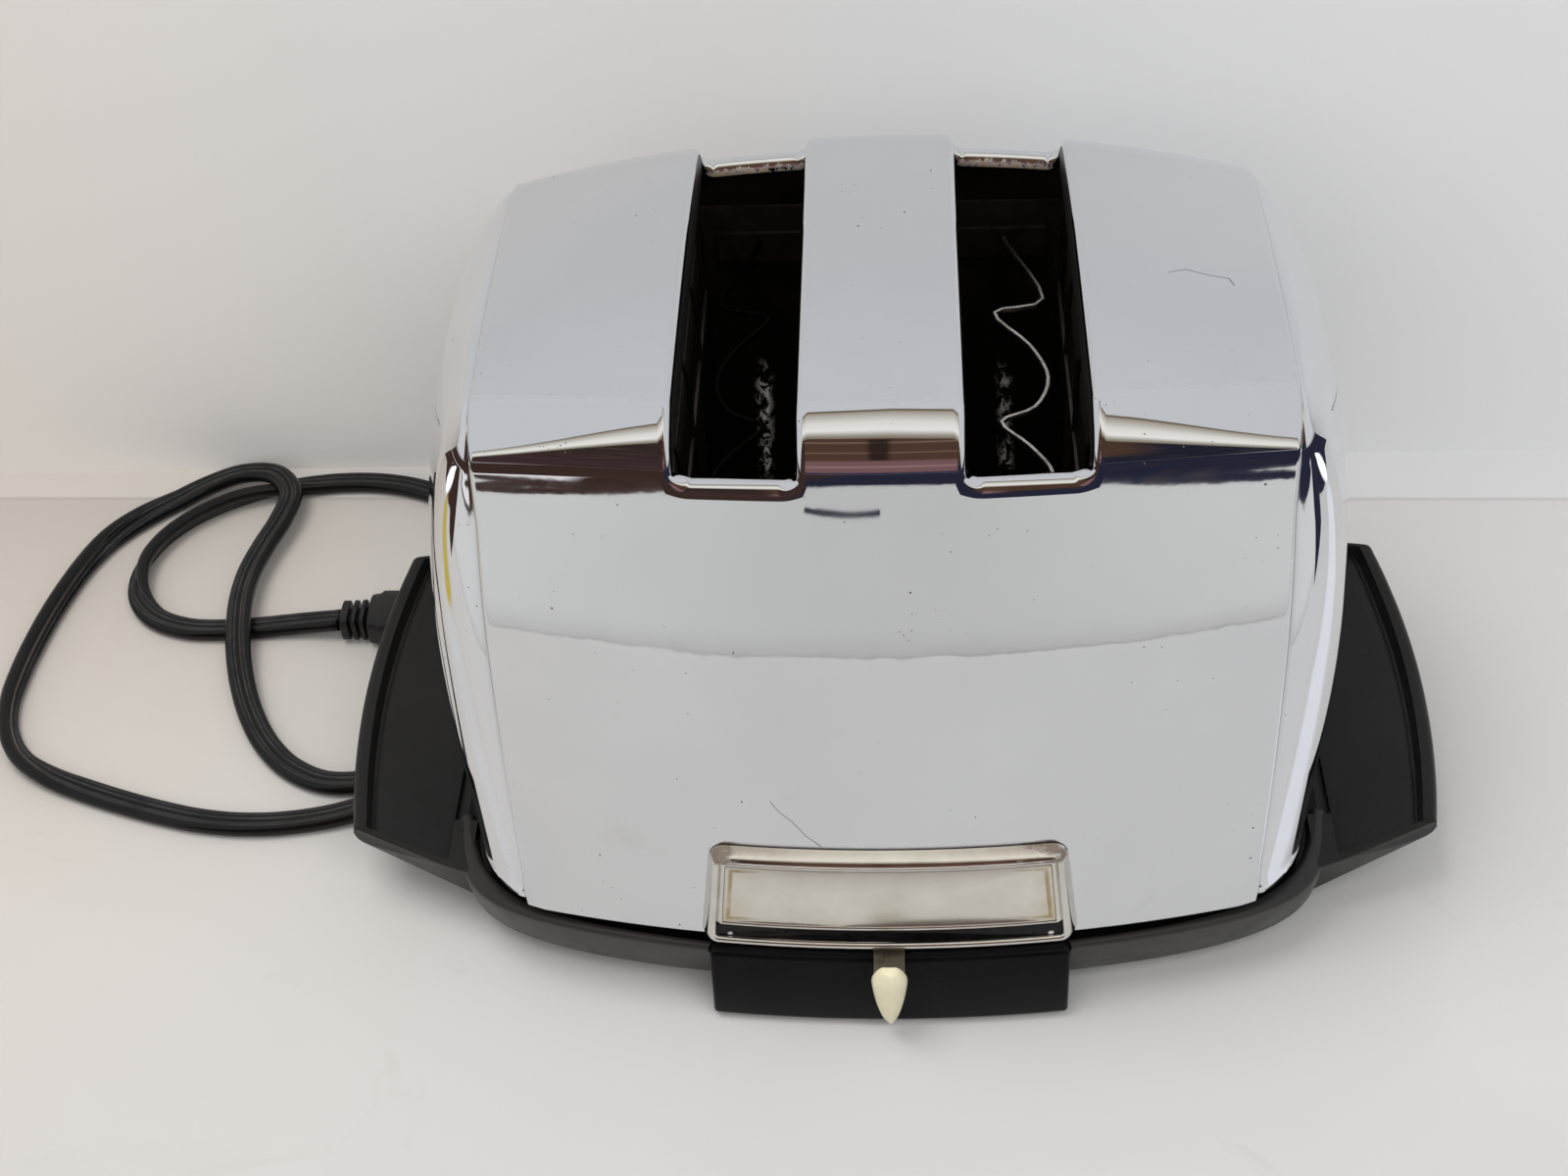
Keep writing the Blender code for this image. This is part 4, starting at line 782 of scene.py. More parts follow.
CHROME = chrome_finish("chrome")
# The covers' chrome is a lighter, bluer copy of the shell's chrome: painted light for the brighter covers.
LIT_CHROME_COVER = chrome_finish("chrome_cover_lit", tint=(0.775, 0.79, 0.82), lift=0.17)
shell = to_object("shell_band_fine", build_shell(), [CHROME_SHELL, INSIDE], recalc=True, thickness=0.7, inner=True)
link(shell, "housing", ["shell_band"])


# ---------------------------------------------------------------- end covers
SIDE_Z = (30.0, 60.0, 100.0, 140.0, 178.0)
SIDE_X = (124.3, 125.3, 125.4, 120.9, 109.5)
COVER_TUCK, ROLL_LOW, ROLL_HIGH, COVER_BOW = 1.3, 17.3, 9.9, 0.0022
COVER_TUCK_LOW = 2.5


def cover_side(y, z):
    z = min(max(z, SIDE_Z[0]), SIDE_Z[-1])
    total = 0.0
    for i, zi in enumerate(SIDE_Z):
        term = SIDE_X[i]
        for k, zk in enumerate(SIDE_Z):
            if k != i:
                term *= (z - zk) / (zi - zk)
        total += term
    return total - COVER_BOW * y * y


def cover_point(s, t):
    """s runs along the profile; t is 0 at the band, 1 where the roll meets the side, 2 at the middle of the side."""
    y, z = profile(s)
    e = 0.3
    y0, z0 = profile(max(0, s - e))
    y1, z1 = profile(min(2 * HALF, s + e))
    d = math.hypot(y1 - y0, z1 - z0)
    ny, nz = -(z1 - z0) / d, (y1 - y0) / d
    b = bowed(BAND_HALF, y, z)
    rise = min(1.0, max(0.0, (b.z - 30.0) / 140.0))
    roll = ROLL_LOW + (ROLL_HIGH - ROLL_LOW) * rise
    a = math.pi / 2 * min(max(t, 0.0), 1.0)
    tuck = COVER_TUCK_LOW + (COVER_TUCK - COVER_TUCK_LOW) * smoothstep(30, 110, b.z)
    inset = tuck + roll * (1 - math.cos(a))
    ys, zs = b.y - ny * inset, max(b.z - nz * inset, 30.0)
    start = band_half(z)
    if t < 0:
        return Vector((start + t * 6.0, ys, zs))
    x = start + (cover_side(ys, zs) - start) * math.sin(a)
    if t > 1:
        pull = t - 1
        ys, zs = ys * (1 - pull), 30.0 + (zs - 30.0) * (1 - 0.15 * pull)
        x = cover_side(ys, zs)
    return Vector((x, ys, zs))


cover_s = []
for lo, hi, step in ((0.0, L_FACE - 4, 4.0), (L_FACE - 4, L_FACE + L_ARC + 3, 0.9), (L_FACE + L_ARC + 3, 2 * HALF - L_FACE - L_ARC - 3, 4.0),
                     (2 * HALF - L_FACE - L_ARC - 3, 2 * HALF - L_FACE + 4, 0.9), (2 * HALF - L_FACE + 4, 2 * HALF, 4.0)):
    cover_s += spaced(lo, hi, step)
cover_s.append(2 * HALF)
cover_t = [-1.0, -0.12, 0.0] + [k / 22 for k in range(1, 22)] + [1.0] + [1 + k / 12 for k in range(1, 13)]
for side, tag in ((-1, "left"), (1, "right")):
    bm = bmesh.new()
    painted_shade = bm.verts.layers.float.new("painted_shade")
    loops = []
    for t in cover_t:
        loop = []
        for s in cover_s:
            p = cover_point(s, t)
            v = bm.verts.new(at((side * p.x, p.y, p.z)))
            # Painted shade on the strip of the cover tucked under the band.
            v[painted_shade] = 1 - smoothstep(-0.10, 0.03, t)
            loop.append(v)
        loops.append(loop)
    bridge(bm, loops, closed=False)
    cover = to_object(f"end_cover_fine_{tag}", bm, [LIT_CHROME_COVER, INSIDE], recalc=True, thickness=0.7, inner=True)
    link(cover, "housing", ["end_cover_" + tag])


# ---------------------------------------------------------------- dark moulded base
def outline_point(degrees, half_x, bow_x, half_y, bow_y, power):
    c, s = math.cos(math.radians(degrees)), math.sin(math.radians(degrees))
    near, far = 0.0, 200.0
    for _ in range(34):
        r = (near + far) / 2
        x, y = abs(r * c), abs(r * s)
        value = (x / (half_x - bow_x * y * y)) ** power + (y / max(1.0, half_y - bow_y * x * x)) ** power
        near, far = (r, far) if value < 1 else (near, r)
    return near * c, near * s


LEDGE, BASE_TOP = 21.2, 25.5
OUTER = [(5.8, 125.9, .0005, 93.4, .00126, 8.6), (6.1, 126.5, .0005, 94.0, .00126, 8.6), (8.0, 127.0, .0006, 95.2, .00126, 9),
         (16.0, 127.45, .0008, 98.0, .00131, 10.5), (23.6, 127.8, .0010, 100.35, .00136, 12), (24.6, 127.65, .00103, 100.4, .00136, 12),
         (25.2, 127.2, .00107, 100.15, .00137, 12), (25.5, 126.5, .0011, 99.65, .00137, 12), (25.5, 125.5, .00118, 98.75, .00137, 9.2),
         (25.35, 125.0, .0012, 98.3, .00137, 9.2), (25.0, 124.6, .00124, 97.95, .00137, 9.2), (24.2, 124.2, .00126, 97.6, .00137, 9.2),
         (LEDGE, 123.6, .00126, 96.8, .00137, 9.2), (LEDGE - 0.2, 119.0, .0012, 89.4, .0014, 9), (5.8, 119.0, .0012, 89.4, .0014, 9)]
base_angles = []
notch = math.degrees(math.atan2(97.3, 49.9))
edge_low = math.degrees(math.atan2(50.6, 127.3))
marks = sorted({-notch, -edge_low - 0.03, -edge_low + 0.03, edge_low - 0.03, edge_low + 0.03, 180 - edge_low - 0.03, 180 - edge_low + 0.03,
                180 + edge_low - 0.03, 180 + edge_low + 0.03, 180 + notch})
for lo, hi in zip(marks, marks[1:]):
    if hi - lo < 0.2:
        base_angles.append(lo)
        continue
    a = lo
    while a < hi - 0.05:
        base_angles.append(a)
        c, s = abs(math.cos(math.radians(a))), abs(math.sin(math.radians(a)))
        corner = abs(math.degrees(math.atan2(s, c)) - 38)
        a += 0.55 if corner < 9 else (1.1 if corner < 16 else 2.2)
        if hi - a < 0.4:
            a = hi
base_angles.append(marks[-1])
bm = bmesh.new()
loops = []
for degrees in base_angles:
    loop = []
    low_side = abs(math.sin(math.radians(degrees))) < math.sin(math.radians(edge_low))
    for z, *shape in OUTER:
        x, y = outline_point(degrees, *shape)
        loop.append(at((x, y, min(z, LEDGE - 0.25) if low_side else z)))
    loops.append(loop)
rings = bridge(bm, loops)
bm.faces.new(rings[0][::-1])
bm.faces.new(rings[-1])
base_rim = link(to_object("base_rim", bm, LIT_RIM_PHENOLIC, angle=38), "housing", ["base_moulding"])

WING_OUT, WING_BOW, WING_END, WING_TOP = 160.3, 0.0017, 57.0, 30.2


def wing_out(y):
    return WING_OUT - WING_BOW * y * y


def skew(x, v):
    """The wing's ends run forward (or back) towards its root."""
    reach = min(1.0, max(0.0, (abs(v) - 30.0) / 27.0))
    return v + math.copysign(reach * 0.37 * max(0.0, 155.0 - x), v)


def wing_height(x, v):
    """Top of a wing: the rim's plane, with the recess sunk into it and the channel by the cover."""
    out, y = wing_out(v), skew(x, v)
    rim = 25.45 + (WING_TOP - 25.45) * max(0.0, x - 127.0) / (out - 2.2 - 127.0)
    floor = 20.8 + (26.3 - 20.8) * (x - 126.5) / (out - 5.2 - 126.5)
    groove = 0.7 * math.exp(-((x - (out - 5.9)) / 0.9) ** 2) + 0.3 * math.exp(-((abs(v) - 54.3) / 0.6) ** 2)
    inside = min((x - 126.3) / 0.7, (out - 4.4 - x) / 1.1, (55.5 - abs(v)) / 0.9)
    z = rim + (min(floor - groove, rim - 0.1) - rim) * smoothstep(0.0, 1.0, inside)
    if abs(y) < 50.55 and x < 126.35:
        z = 22.7 if x > 123.25 else 20.9
    return z


wing_v = []
for lo, hi, step in ((-57.0, -42.0, 0.40), (-42.0, 42.0, 4.0), (42.0, 57.0, 0.40)):
    wing_v += spaced(lo, hi, step)
wing_v.append(57.0)
for side, tag in ((-1, "left"), (1, "right")):
    bm = bmesh.new()
    loops = []
    for v in wing_v:
        out = wing_out(v)
        drop = 0.7 * smoothstep(56.2, 57.0, abs(v)) ** 2
        xs = [out - 2.2, out - 3.0, out - 3.6, out - 4.1, out - 4.4, out - 4.75, out - 5.1, out - 5.5, out - 5.9, out - 6.5, out - 7.4]
        xs += [xs[-1] + (130.0 - xs[-1]) * k / 8 for k in range(1, 9)]
        xs += [128.6, 127.6, 127.0, 126.8, 126.6, 126.4, 126.3, 125.5, 124.2, 123.35, 123.2, 122.4, 121.5, 119.5]
        loop = [(119.5, 6.4), (out - 4.4, 23.0 + drop), (out - 2.4, 23.5 + drop), (out - 1.0, 24.4 + drop), (out - 0.3, 25.6 + drop),
                (out, 27.2), (out - 0.15, 28.4 - drop * 0.3), (out - 0.6, 29.4 - drop * 0.6), (out - 1.3, 30.0 - drop * 0.8)]
        loop += [(x, wing_height(x, v) - drop) for x in xs]
        ring = [at((side * x, skew(x, v), z)) for x, z in loop]
        ring[0] = at((side * 119.5, v + 0.62 * (skew(119.5, v) - v), 8.0))
        loops.append(ring)
    rings = bridge(bm, loops)
    bm.faces.new(rings[0][::-1])
    bm.faces.new(rings[-1])
    link(to_object(f"handle_wing_{tag}", bm, PHENOLIC, angle=40), "housing", ["base_moulding"])


# ---------------------------------------------------------------- control housing
def housing_ring(z, front, back, half, bow, columns=28, corner=1.0):
    pts = []
    for k in range(columns + 1):
        x = (half - corner) * (-1 + 2 * k / columns)
        pts.append((x, -front + bow * x * x, z))
    x0, y0 = pts[-1][0], pts[-1][1]
    arc = [(x0 + corner * math.sin(a), y0 + corner * (1 - math.cos(a)), z) for a in (0.4, 0.8, 1.2, math.pi / 2)]
    left = [(-x, y, z) for x, y, _ in arc]
    return left[::-1] + pts + arc + [(half, -back, z), (-half, -back, z)]


HB = 0.00115
loops = [housing_ring(z, front, 88.2, half, HB, corner=corner) for z, front, half, corner in
         ((1.65, 103.4, 48.0, 0.8), (1.9, 104.0, 48.7, 1.0), (2.5, 104.75, 49.2, 1.1), (3.4, 105.0, 49.3, 1.1), (23.8, 101.75, 49.3, 1.1),
          (24.7, 101.4, 49.15, 1.1), (25.2, 100.9, 48.8, 1.0), (25.45, 100.2, 48.2, 0.8))]
housing = lofted("control_housing_fine", loops, GLOSS, angle=60)
link(housing, "housing", ["control_housing"])


# ---------------------------------------------------------------- front plate
BADGE_LOW, BADGE_HIGH, HALF_LOW, HALF_HIGH, PROUD = 29.0, 58.4, 48.8, 46.2, 4.0


def plate_point(x, z, proud):
    n = Vector((2 * PLAN_BOW * x, -1.0, FACE_LEAN)).normalized()
    return Vector((x, face_y(x, z), z)) + n * proud


def rounded_frame(low, high, half_low, half_high, r, per_side=26, per_corner=9):
    """(x, z) loop of a tapered rounded plate, counter-clockwise from the lower left."""
    def half(z):
        return half_low + (half_high - half_low) * (z - BADGE_LOW) / (BADGE_HIGH - BADGE_LOW)
    pts = []
    corners = ((1, low, -math.pi / 2), (1, high, 0.0), (-1, high, math.pi / 2), (-1, low, math.pi))
    for n, (sx, z, a0) in enumerate(corners):
        cz = z + r if z == low else z - r
        cx = sx * (half(z) - r)
        for k in range(per_corner + 1):
            a = a0 + math.pi / 2 * k / per_corner
            pts.append((cx + r * math.cos(a), cz + r * math.sin(a)))
        nx = corners[(n + 1) % 4]
        ncz = nx[1] + r if nx[1] == low else nx[1] - r
        ncx = nx[0] * (half(nx[1]) - r)
        end = a0 + math.pi / 2
        start = Vector((pts[-1][0], pts[-1][1]))
        finish = Vector((ncx + r * math.cos(end), ncz + r * math.sin(end)))
        count = per_side if abs(finish.x - start.x) > 20 else 6
        for k in range(1, count):
            p = start.lerp(finish, k / count)
            pts.append((p.x, p.y))
    return pts


def frame_sweep(name, low, high, half_low, half_high, r, section, mat, cap=False):
    """A rolled frame: section is (inset from the outline, how proud)."""
    bm = bmesh.new()
    loops = []
    for inset, proud in section:
        rr = max(0.5, r - inset)
        loop = rounded_frame(low + inset, high - inset, half_low - inset, half_high - inset, rr)
        loops.append([at(plate_point(x, z, proud)) for x, z in loop])
    rings = bridge(bm, loops)
    if cap:
        bm.faces.new(rings[-1])
    return to_object(name, bm, mat, angle=60)


def plate_slab(name, low, high, inset, proud, back, mat, r=0.6, edge=0.25):
    """A bowed plate with eased edges."""
    half_l, half_h = HALF_LOW - inset, HALF_HIGH - inset
    bm = bmesh.new()
    loops = []
    for more, p in ((0.0, back), (0.0, proud - edge), (edge * 0.3, proud - edge * 0.3), (edge, proud)):
        loops.append([at(plate_point(x, z, p)) for x, z in rounded_frame(low + more, high - more, half_l - more, half_h - more, max(0.3, r - more))])
    rings = bridge(bm, loops)
    grid_rows = 10
    inner = rings[-1]
    bmesh.ops.contextual_create(bm, geom=inner)
    return to_object(name, bm, mat, angle=40)


def bezel_finish():
    f = Finish("bezel_chrome")
    cloud = f.noise(8, 4.0, 0.6)
    eaten = f.range(f.noise(2.6, 5.0, 0.7), 0.60, 0.66)
    z = f.node("ShaderNodeSeparateXYZ", {0: f.coords}).outputs
    high = f.range(z["Z"], 0.0568, 0.0578)
    left = f.range(z["X"], -0.0385, -0.0420)
    rightm = f.range(z["X"], 0.0335, 0.0375)
    zone = f.math("MULTIPLY", high, f.math("MAXIMUM", left, rightm))
    streaky = f.noise(3.0, 5.0, 0.65, coords=f.stretched(0.30, 1, 1))
    eaten = f.math("MULTIPLY", f.range(streaky, 0.46, 0.56), zone)
    flecks = f.specks(2.2, 0.14, 0.08)
    eaten = f.math("MAXIMUM", eaten, flecks)
    base = f.mix(f.range(cloud, 0.3, 0.7), (0.64, 0.615, 0.57), (0.74, 0.72, 0.68))
    base = f.mix(f.math("MULTIPLY", eaten, 0.85), base, (0.15, 0.10, 0.06))
    rough = f.math("MAXIMUM", f.range(cloud, 0.3, 0.7, 0.07, 0.14), f.math("MULTIPLY", eaten, 0.5))
    return f.set(Base_Color=base, Roughness=rough, Metallic=f.range(eaten, 0, 1, 1.0, 0.4), Normal=f.bump(f.noise(12, 2.0), 0.05))


def champagne_finish():
    f = Finish("champagne_plate")
    parts = f.node("ShaderNodeSeparateXYZ", {0: f.coords}).outputs
    brushed = f.noise(0.7, 2.0, 0.5, coords=f.stretched(0.06, 1, 1))
    stain_r = f.math("MULTIPLY", f.range(parts["X"], 0.0375, 0.0445), f.range(f.noise(4, 4.0, 0.6), 0.2, 0.6))
    stain_l = f.math("MULTIPLY", f.range(parts["X"], -0.036, -0.0445), f.range(parts["Z"], 0.047, 0.037))
    stain_b = f.math("MULTIPLY", f.range(parts["Z"], 0.0395, 0.0365), f.range(f.noise(5, 4.0, 0.6), 0.4, 0.75))
    stain = f.math("MAXIMUM", f.math("MAXIMUM", stain_r, stain_l), stain_b)
    base = f.mix(f.range(f.noise(14, 4.0, 0.6), 0.3, 0.7), (0.69, 0.66, 0.585), (0.79, 0.76, 0.69))
    base = f.mix(f.math("MULTIPLY", stain, 0.55), base, (0.46, 0.36, 0.19))
    corners = [plate_point(x, z, 3.0) for x, z in ((-43.2, 37.6), (43.2, 37.6), (41.5, 53.9), (-41.5, 53.9), (-43.2, 37.6))]
    border = f.math("MULTIPLY", f.strokes(corners, 0.75), f.range(f.noise(5, 4.0, 0.6), 0.30, 0.55, 0.15, 0.8))
    base = f.mix(border, base, (0.37, 0.28, 0.14))
    base = f.mix(f.math("MULTIPLY", f.specks(2.6, 0.14, 0.08), 0.6), base, (0.20, 0.15, 0.09))
    rough = f.range(brushed, 0.3, 0.7, 0.30, 0.42)
    return f.set(Base_Color=base, Roughness=rough, Metallic=0.85, Normal=f.bump(brushed, 0.006, 0.6))


BEZEL = bezel_finish()
frame_sweep_section = [(-2.0, 0.3), (-1.5, 1.2), (-0.9, 2.3), (-0.4, 3.0), (0.0, 3.45), (0.35, 3.75), (0.8, 3.95), (1.25, 4.0), (1.6, 3.85),
                       (1.9, 3.4), (2.05, 2.6), (2.1, 1.4)]
bezel = frame_sweep("bezel_frame", BADGE_LOW, BADGE_HIGH, HALF_LOW, HALF_HIGH, 2.8, frame_sweep_section, BEZEL)
link(bezel, "housing", ["badge_bezel"])
inner_section = [(-1.2, 1.6), (-0.6, 2.2), (0.0, 2.75), (0.5, 3.15), (0.95, 3.3), (1.3, 3.2), (1.55, 2.95), (1.65, 2.4)]
ring = frame_sweep("bezel_inner_frame", 34.85, 56.9, HALF_LOW - 1.9, HALF_HIGH - 1.9, 1.5, inner_section, BEZEL)
link(ring, "housing", ["badge_bezel"])
CHAMPAGNE = champagne_finish()
plate = plate_slab("front_plate", 36.3, 55.2, 3.5, 3.05, 1.5, CHAMPAGNE)
link(plate, "housing", ["badge_plate"])


def strip_finish():
    f = Finish("scale_strip")
    dots = None
    for x in (-43.0, -29.5, -15.0, -0.2, 14.7, 29.5, 43.3):
        p = plate_point(x, 31.9, 3.05)
        one = f.stroke(p, p + Vector((0.3, 0, 0)), 0.78)
        dots = one if dots is None else f.math("MAXIMUM", dots, one)
    cloud = f.noise(5, 4.0, 0.6)
    base = f.mix(f.range(cloud, 0.3, 0.7), (0.006, 0.006, 0.007), (0.014, 0.013, 0.013))
    base = f.mix(f.math("MULTIPLY", dots, 1.0), base, (0.62, 0.60, 0.55))
    base = f.mix(f.math("MULTIPLY", f.specks(3.0, 0.16, 0.12), 0.5), base, (0.30, 0.27, 0.22))
    return f.set(Base_Color=base, Roughness=f.range(cloud, 0.3, 0.7, 0.20, 0.34), Specular_IOR_Level=0.15, Normal=f.bump(f.noise(3), 0.01))


strip = plate_slab("scale_strip_fine", 30.4, 35.3, 1.9, 3.05, 1.5, strip_finish(), r=0.5)
link(strip, "housing", ["scale_strip"])


# ---------------------------------------------------------------- browning lever and knob
def ivory_finish():
    f = Finish("ivory")
    cloud = f.noise(6, 4.0, 0.6)
    base = f.mix(f.range(cloud, 0.3, 0.7), (0.76, 0.70, 0.47), (0.83, 0.78, 0.58))
    base = f.mix(f.math("MULTIPLY", f.specks(1.8, 0.12, 0.08), 0.5), base, (0.35, 0.25, 0.14))
    return f.set(Base_Color=base, Roughness=f.range(cloud, 0.3, 0.7, 0.28, 0.40), Subsurface_Weight=0.12,
                 Subsurface_Radius=(0.002, 0.0015, 0.0008), Normal=f.bump(f.noise(1.2), 0.015, 0.5))


knob_rows = []
KNOB = through([(5.9, 0.9, 1.5), (6.15, 1.15, 1.9), (7.2, 1.75, 2.45), (9.4, 2.55, 3.1), (13.4, 3.55, 3.7), (18.0, 4.3, 4.05), (22.0, 4.75, 4.2),
                (23.6, 4.87, 4.2), (24.8, 4.76, 4.15), (26.0, 4.42, 4.0), (27.1, 3.9, 3.85), (28.0, 3.3, 3.6), (28.7, 2.7, 3.3), (29.1, 2.2, 2.9), (29.3, 1.7, 2.3)], 4)
for z, w, front in KNOB:
    y = -107.0
    row = []
    for n in range(28):
        t = n / 27
        x = w * (1 - 2 * t)
        ridge = 0.28 * w
        rise = 1 - abs(x - ridge) / (w + (ridge if x < ridge else -ridge))
        row.append((x, y - 0.5 - (front - 0.5) * rise ** 0.55, z))
    knob_rows.append([(w, y, z)] + row + [(-w, y, z)])
knob = link(lofted("lever_knob", knob_rows, ivory_finish(), angle=75), "control", ["control_knob"])
LEVER_STEEL = metal_finish("lever_steel", (0.36, 0.33, 0.27), 0.42, (0.09, 0.065, 0.045), 0.9)

# ---------------------------------------------------------------- finishes of the pieces kept as they are
def scraped_glowing_plate():
    f = Finish("scraped_glowing_plate")
    xyz = f.node("ShaderNodeSeparateXYZ", {0: f.coords}).outputs
    x, z = f.math("MULTIPLY", xyz["X"], 1000.0), f.math("MULTIPLY", xyz["Z"], 1000.0)
    ragged = f.noise(2.6, 6.0, 0.75, 0.6, coords=f.stretched(1.0, 1.0, 0.55))
    left = f.math("MULTIPLY", f.inside(f.math("ADD", x, f.math("MULTIPLY", z, -0.03)), -41.5, -37.2, 1.2), f.inside(z, 57.0, 100.0, 4.0))
    right_part = f.math("MULTIPLY", f.inside(f.math("ADD", x, f.math("MULTIPLY", z, 0.045)), 38.8, 42.6, 1.2), f.inside(z, 54.0, 99.0, 4.0))
    scraped_and_glowing = f.math("MULTIPLY", f.math("MAXIMUM", left, f.math("MULTIPLY", right_part, 0.8)), f.range(ragged, 0.50, 0.57))
    dark_mottle = f.range(f.noise(6, 5.0, 0.6), 0.3, 0.75)
    base = f.mix(dark_mottle, (0.004, 0.0035, 0.003), (0.013, 0.010, 0.007))
    base = f.mix(scraped_and_glowing, base, (0.62, 0.60, 0.57))
    # The scraped streaks' colour is wear; their faint emission is painted light that lifts them in the dark.
    return f.set(Base_Color=base, Roughness=f.range(scraped_and_glowing, 0, 1, 0.7, 0.45), Emission_Color=base, Emission_Strength=f.math("MULTIPLY", scraped_and_glowing, 0.16),
                 Normal=f.bump(scraped_and_glowing, 0.05, 0.5))


KEEP = {"plated_steel": STEEL, "dark_steel": DARK_STEEL, "mica": MICA, "rubber": RUBBER, "ceramic": CERAMIC, "brass": BRASS,
        "gloss_black": GLOSS, "phenolic": PHENOLIC, "chrome": CHROME, "champagne_plate": CHAMPAGNE, "ivory": STEEL}
# the coil under the rear crosshead, built at one length; on the toaster it shortens with the racks
bm = bmesh.new()
rings = []
for k in range(12 * 24 + 1):
    a = 2 * math.pi * k / 24
    middle = Vector((5.3 * math.cos(a), 57.0 + 5.3 * math.sin(a), 36.45 + (137.5 - 36.45) * k / (12 * 24)))
    outward, along = Vector((math.cos(a), math.sin(a), 0)), Vector((-math.sin(a), math.cos(a), 0.25)).normalized()
    across = along.cross(outward)
    rings.append([at(middle + outward * 0.48 * math.cos(b * math.pi / 4) + across * 0.48 * math.sin(b * math.pi / 4)) for b in range(8)])
rings = bridge(bm, rings)
bm.faces.new(rings[0][::-1])
bm.faces.new(rings[-1])
spring = link(to_object("lift_spring_fine", bm, STEEL, recalc=True), "housing", ["lift_spring"])
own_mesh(spring)

# The left rack takes the near-black copy of the rack wire: painted shade.
OWN = {"bread_rack_right": WIRE, "bread_rack_left": SHADED_WIRE, "control_lever": LEVER_STEEL, "chassis_rear_plate": scraped_glowing_plate()}
slots = {entry["node"]: entry["material_slot"] for entry in frame["record"]["subparts"]}
for name, obj in frame["nodes"].items():
    mat = OWN.get(name, KEEP[slots[name]])
    if name not in OWN and name.startswith(("chassis_", "upper_tie", "crosshead", "guide_rod", "lift_", "lever_bracket", "lower_tie")):
        mat = INSIDE
    obj.data.materials.clear()
    obj.data.materials.append(mat)

# ---------------------------------------------------------------- floor, wall and light
def stage_mesh(name, corners, mat, camera=True):
    mesh = bpy.data.meshes.new(name)
    mesh.from_pydata([at(c) for c in corners], [], [tuple(range(len(corners)))])
    mesh.materials.append(mat)
    obj = bpy.data.objects.new(name, mesh)
    bpy.context.scene.collection.objects.link(obj)
    if not camera:
        obj.visible_camera = False
        obj.visible_diffuse = False
        obj.visible_shadow = False
        obj.visible_transmission = False
    return obj


def floor_finish():
    """Pale table, seen from above only: from below it lets the view through."""
    f = Finish("floor_paint")
    xyz = f.node("ShaderNodeSeparateXYZ", {0: f.coords}).outputs
    x, y = f.math("MULTIPLY", xyz["X"], 1000.0), f.math("SUBTRACT", f.math("MULTIPLY", xyz["Y"], 1000.0), FRAME_Y)
    cloud = f.range(f.noise(240, 4.0, 0.55), 0.3, 0.7)
    base = f.mix(cloud, (0.585, 0.575, 0.560), (0.615, 0.605, 0.590))
    # Painted shade: on the left the floor grows darker and warmer towards the wall.
    left = f.range(x, -60.0, -260.0)
    near_wall = f.range(y, -70.0, 117.0)
    base = f.mix(f.math("MULTIPLY", left, f.range(y, -260.0, 60.0, 0.25, 1.0)), base, (0.595, 0.550, 0.505))
    base = f.mix(f.math("MULTIPLY", f.math("MULTIPLY", left, near_wall), 0.45), base, (0.36, 0.325, 0.29))
    # Beyond a drawn line at the wall's foot the floor takes the wall's tone; a thin painted shadow line runs along that
    # line.
    line = f.math("ADD", 116.2, f.math("MULTIPLY", x, -0.0227))
    past = f.math("SUBTRACT", y, line)
    base = f.mix(f.range(past, 0.0, 1.0), base, f.mix(left, (0.63, 0.628, 0.628), (0.575, 0.535, 0.49)))
    base = f.mix(f.math("MULTIPLY", f.inside(past, 0.0, 1.3, 0.6), 0.32), base, (0.20, 0.18, 0.16))
    scuffs = f.range(f.noise(60, 6.0, 0.7, 1.5), 0.62, 0.70, 0.0, 0.10)
    base = f.mix(scuffs, base, (0.40, 0.37, 0.33))
    base = f.mix(f.math("MULTIPLY", f.specks(60.0, 0.8, 0.35), 0.35), base, (0.25, 0.22, 0.18))
    f.set(Base_Color=base, Roughness=f.range(cloud, 0, 1, 0.5, 0.62), Normal=f.bump(f.noise(1.5, 2.0), 0.01, 0.3))
    back = f.node("ShaderNodeNewGeometry").outputs["Backfacing"]
    clear = f.node("ShaderNodeBsdfTransparent").outputs[0]
    blend = f.node("ShaderNodeMixShader", {0: back, 1: f.shader.outputs[0], 2: clear})
    f.feed(f.tree.nodes["Material Output"].inputs["Surface"], blend.outputs[0])
    return f.mat


def wall_finish():
    """Pale paint, seen from the front only: from behind the wall lets the view through."""
    f = Finish("wall_paint")
    xyz = f.node("ShaderNodeSeparateXYZ", {0: f.coords}).outputs
    # Painted light: the wall is warmer towards the left, darker and cooler high up, and a faint emission lifts it.
    left = f.range(xyz["X"], 0.05, -0.35)
    cloud = f.range(f.noise(300, 3.0, 0.55), 0.3, 0.7)
    base = f.mix(cloud, (0.76, 0.758, 0.758), (0.79, 0.788, 0.787))
    base = f.mix(left, base, (0.75, 0.71, 0.665))
    high = f.range(xyz["Z"], 0.215, 0.30)
    base = f.mix(high, base, (0.66, 0.67, 0.685))
    f.set(Base_Color=base, Roughness=0.6, Emission_Color=base, Emission_Strength=0.05)
    back = f.node("ShaderNodeNewGeometry").outputs["Backfacing"]
    clear = f.node("ShaderNodeBsdfTransparent").outputs[0]
    fade = f.math("MAXIMUM", back, f.range(xyz["Z"], 0.27, 0.52))
    blend = f.node("ShaderNodeMixShader", {0: fade, 1: f.shader.outputs[0], 2: clear})
    f.feed(f.tree.nodes["Material Output"].inputs["Surface"], blend.outputs[0])
    return f.mat


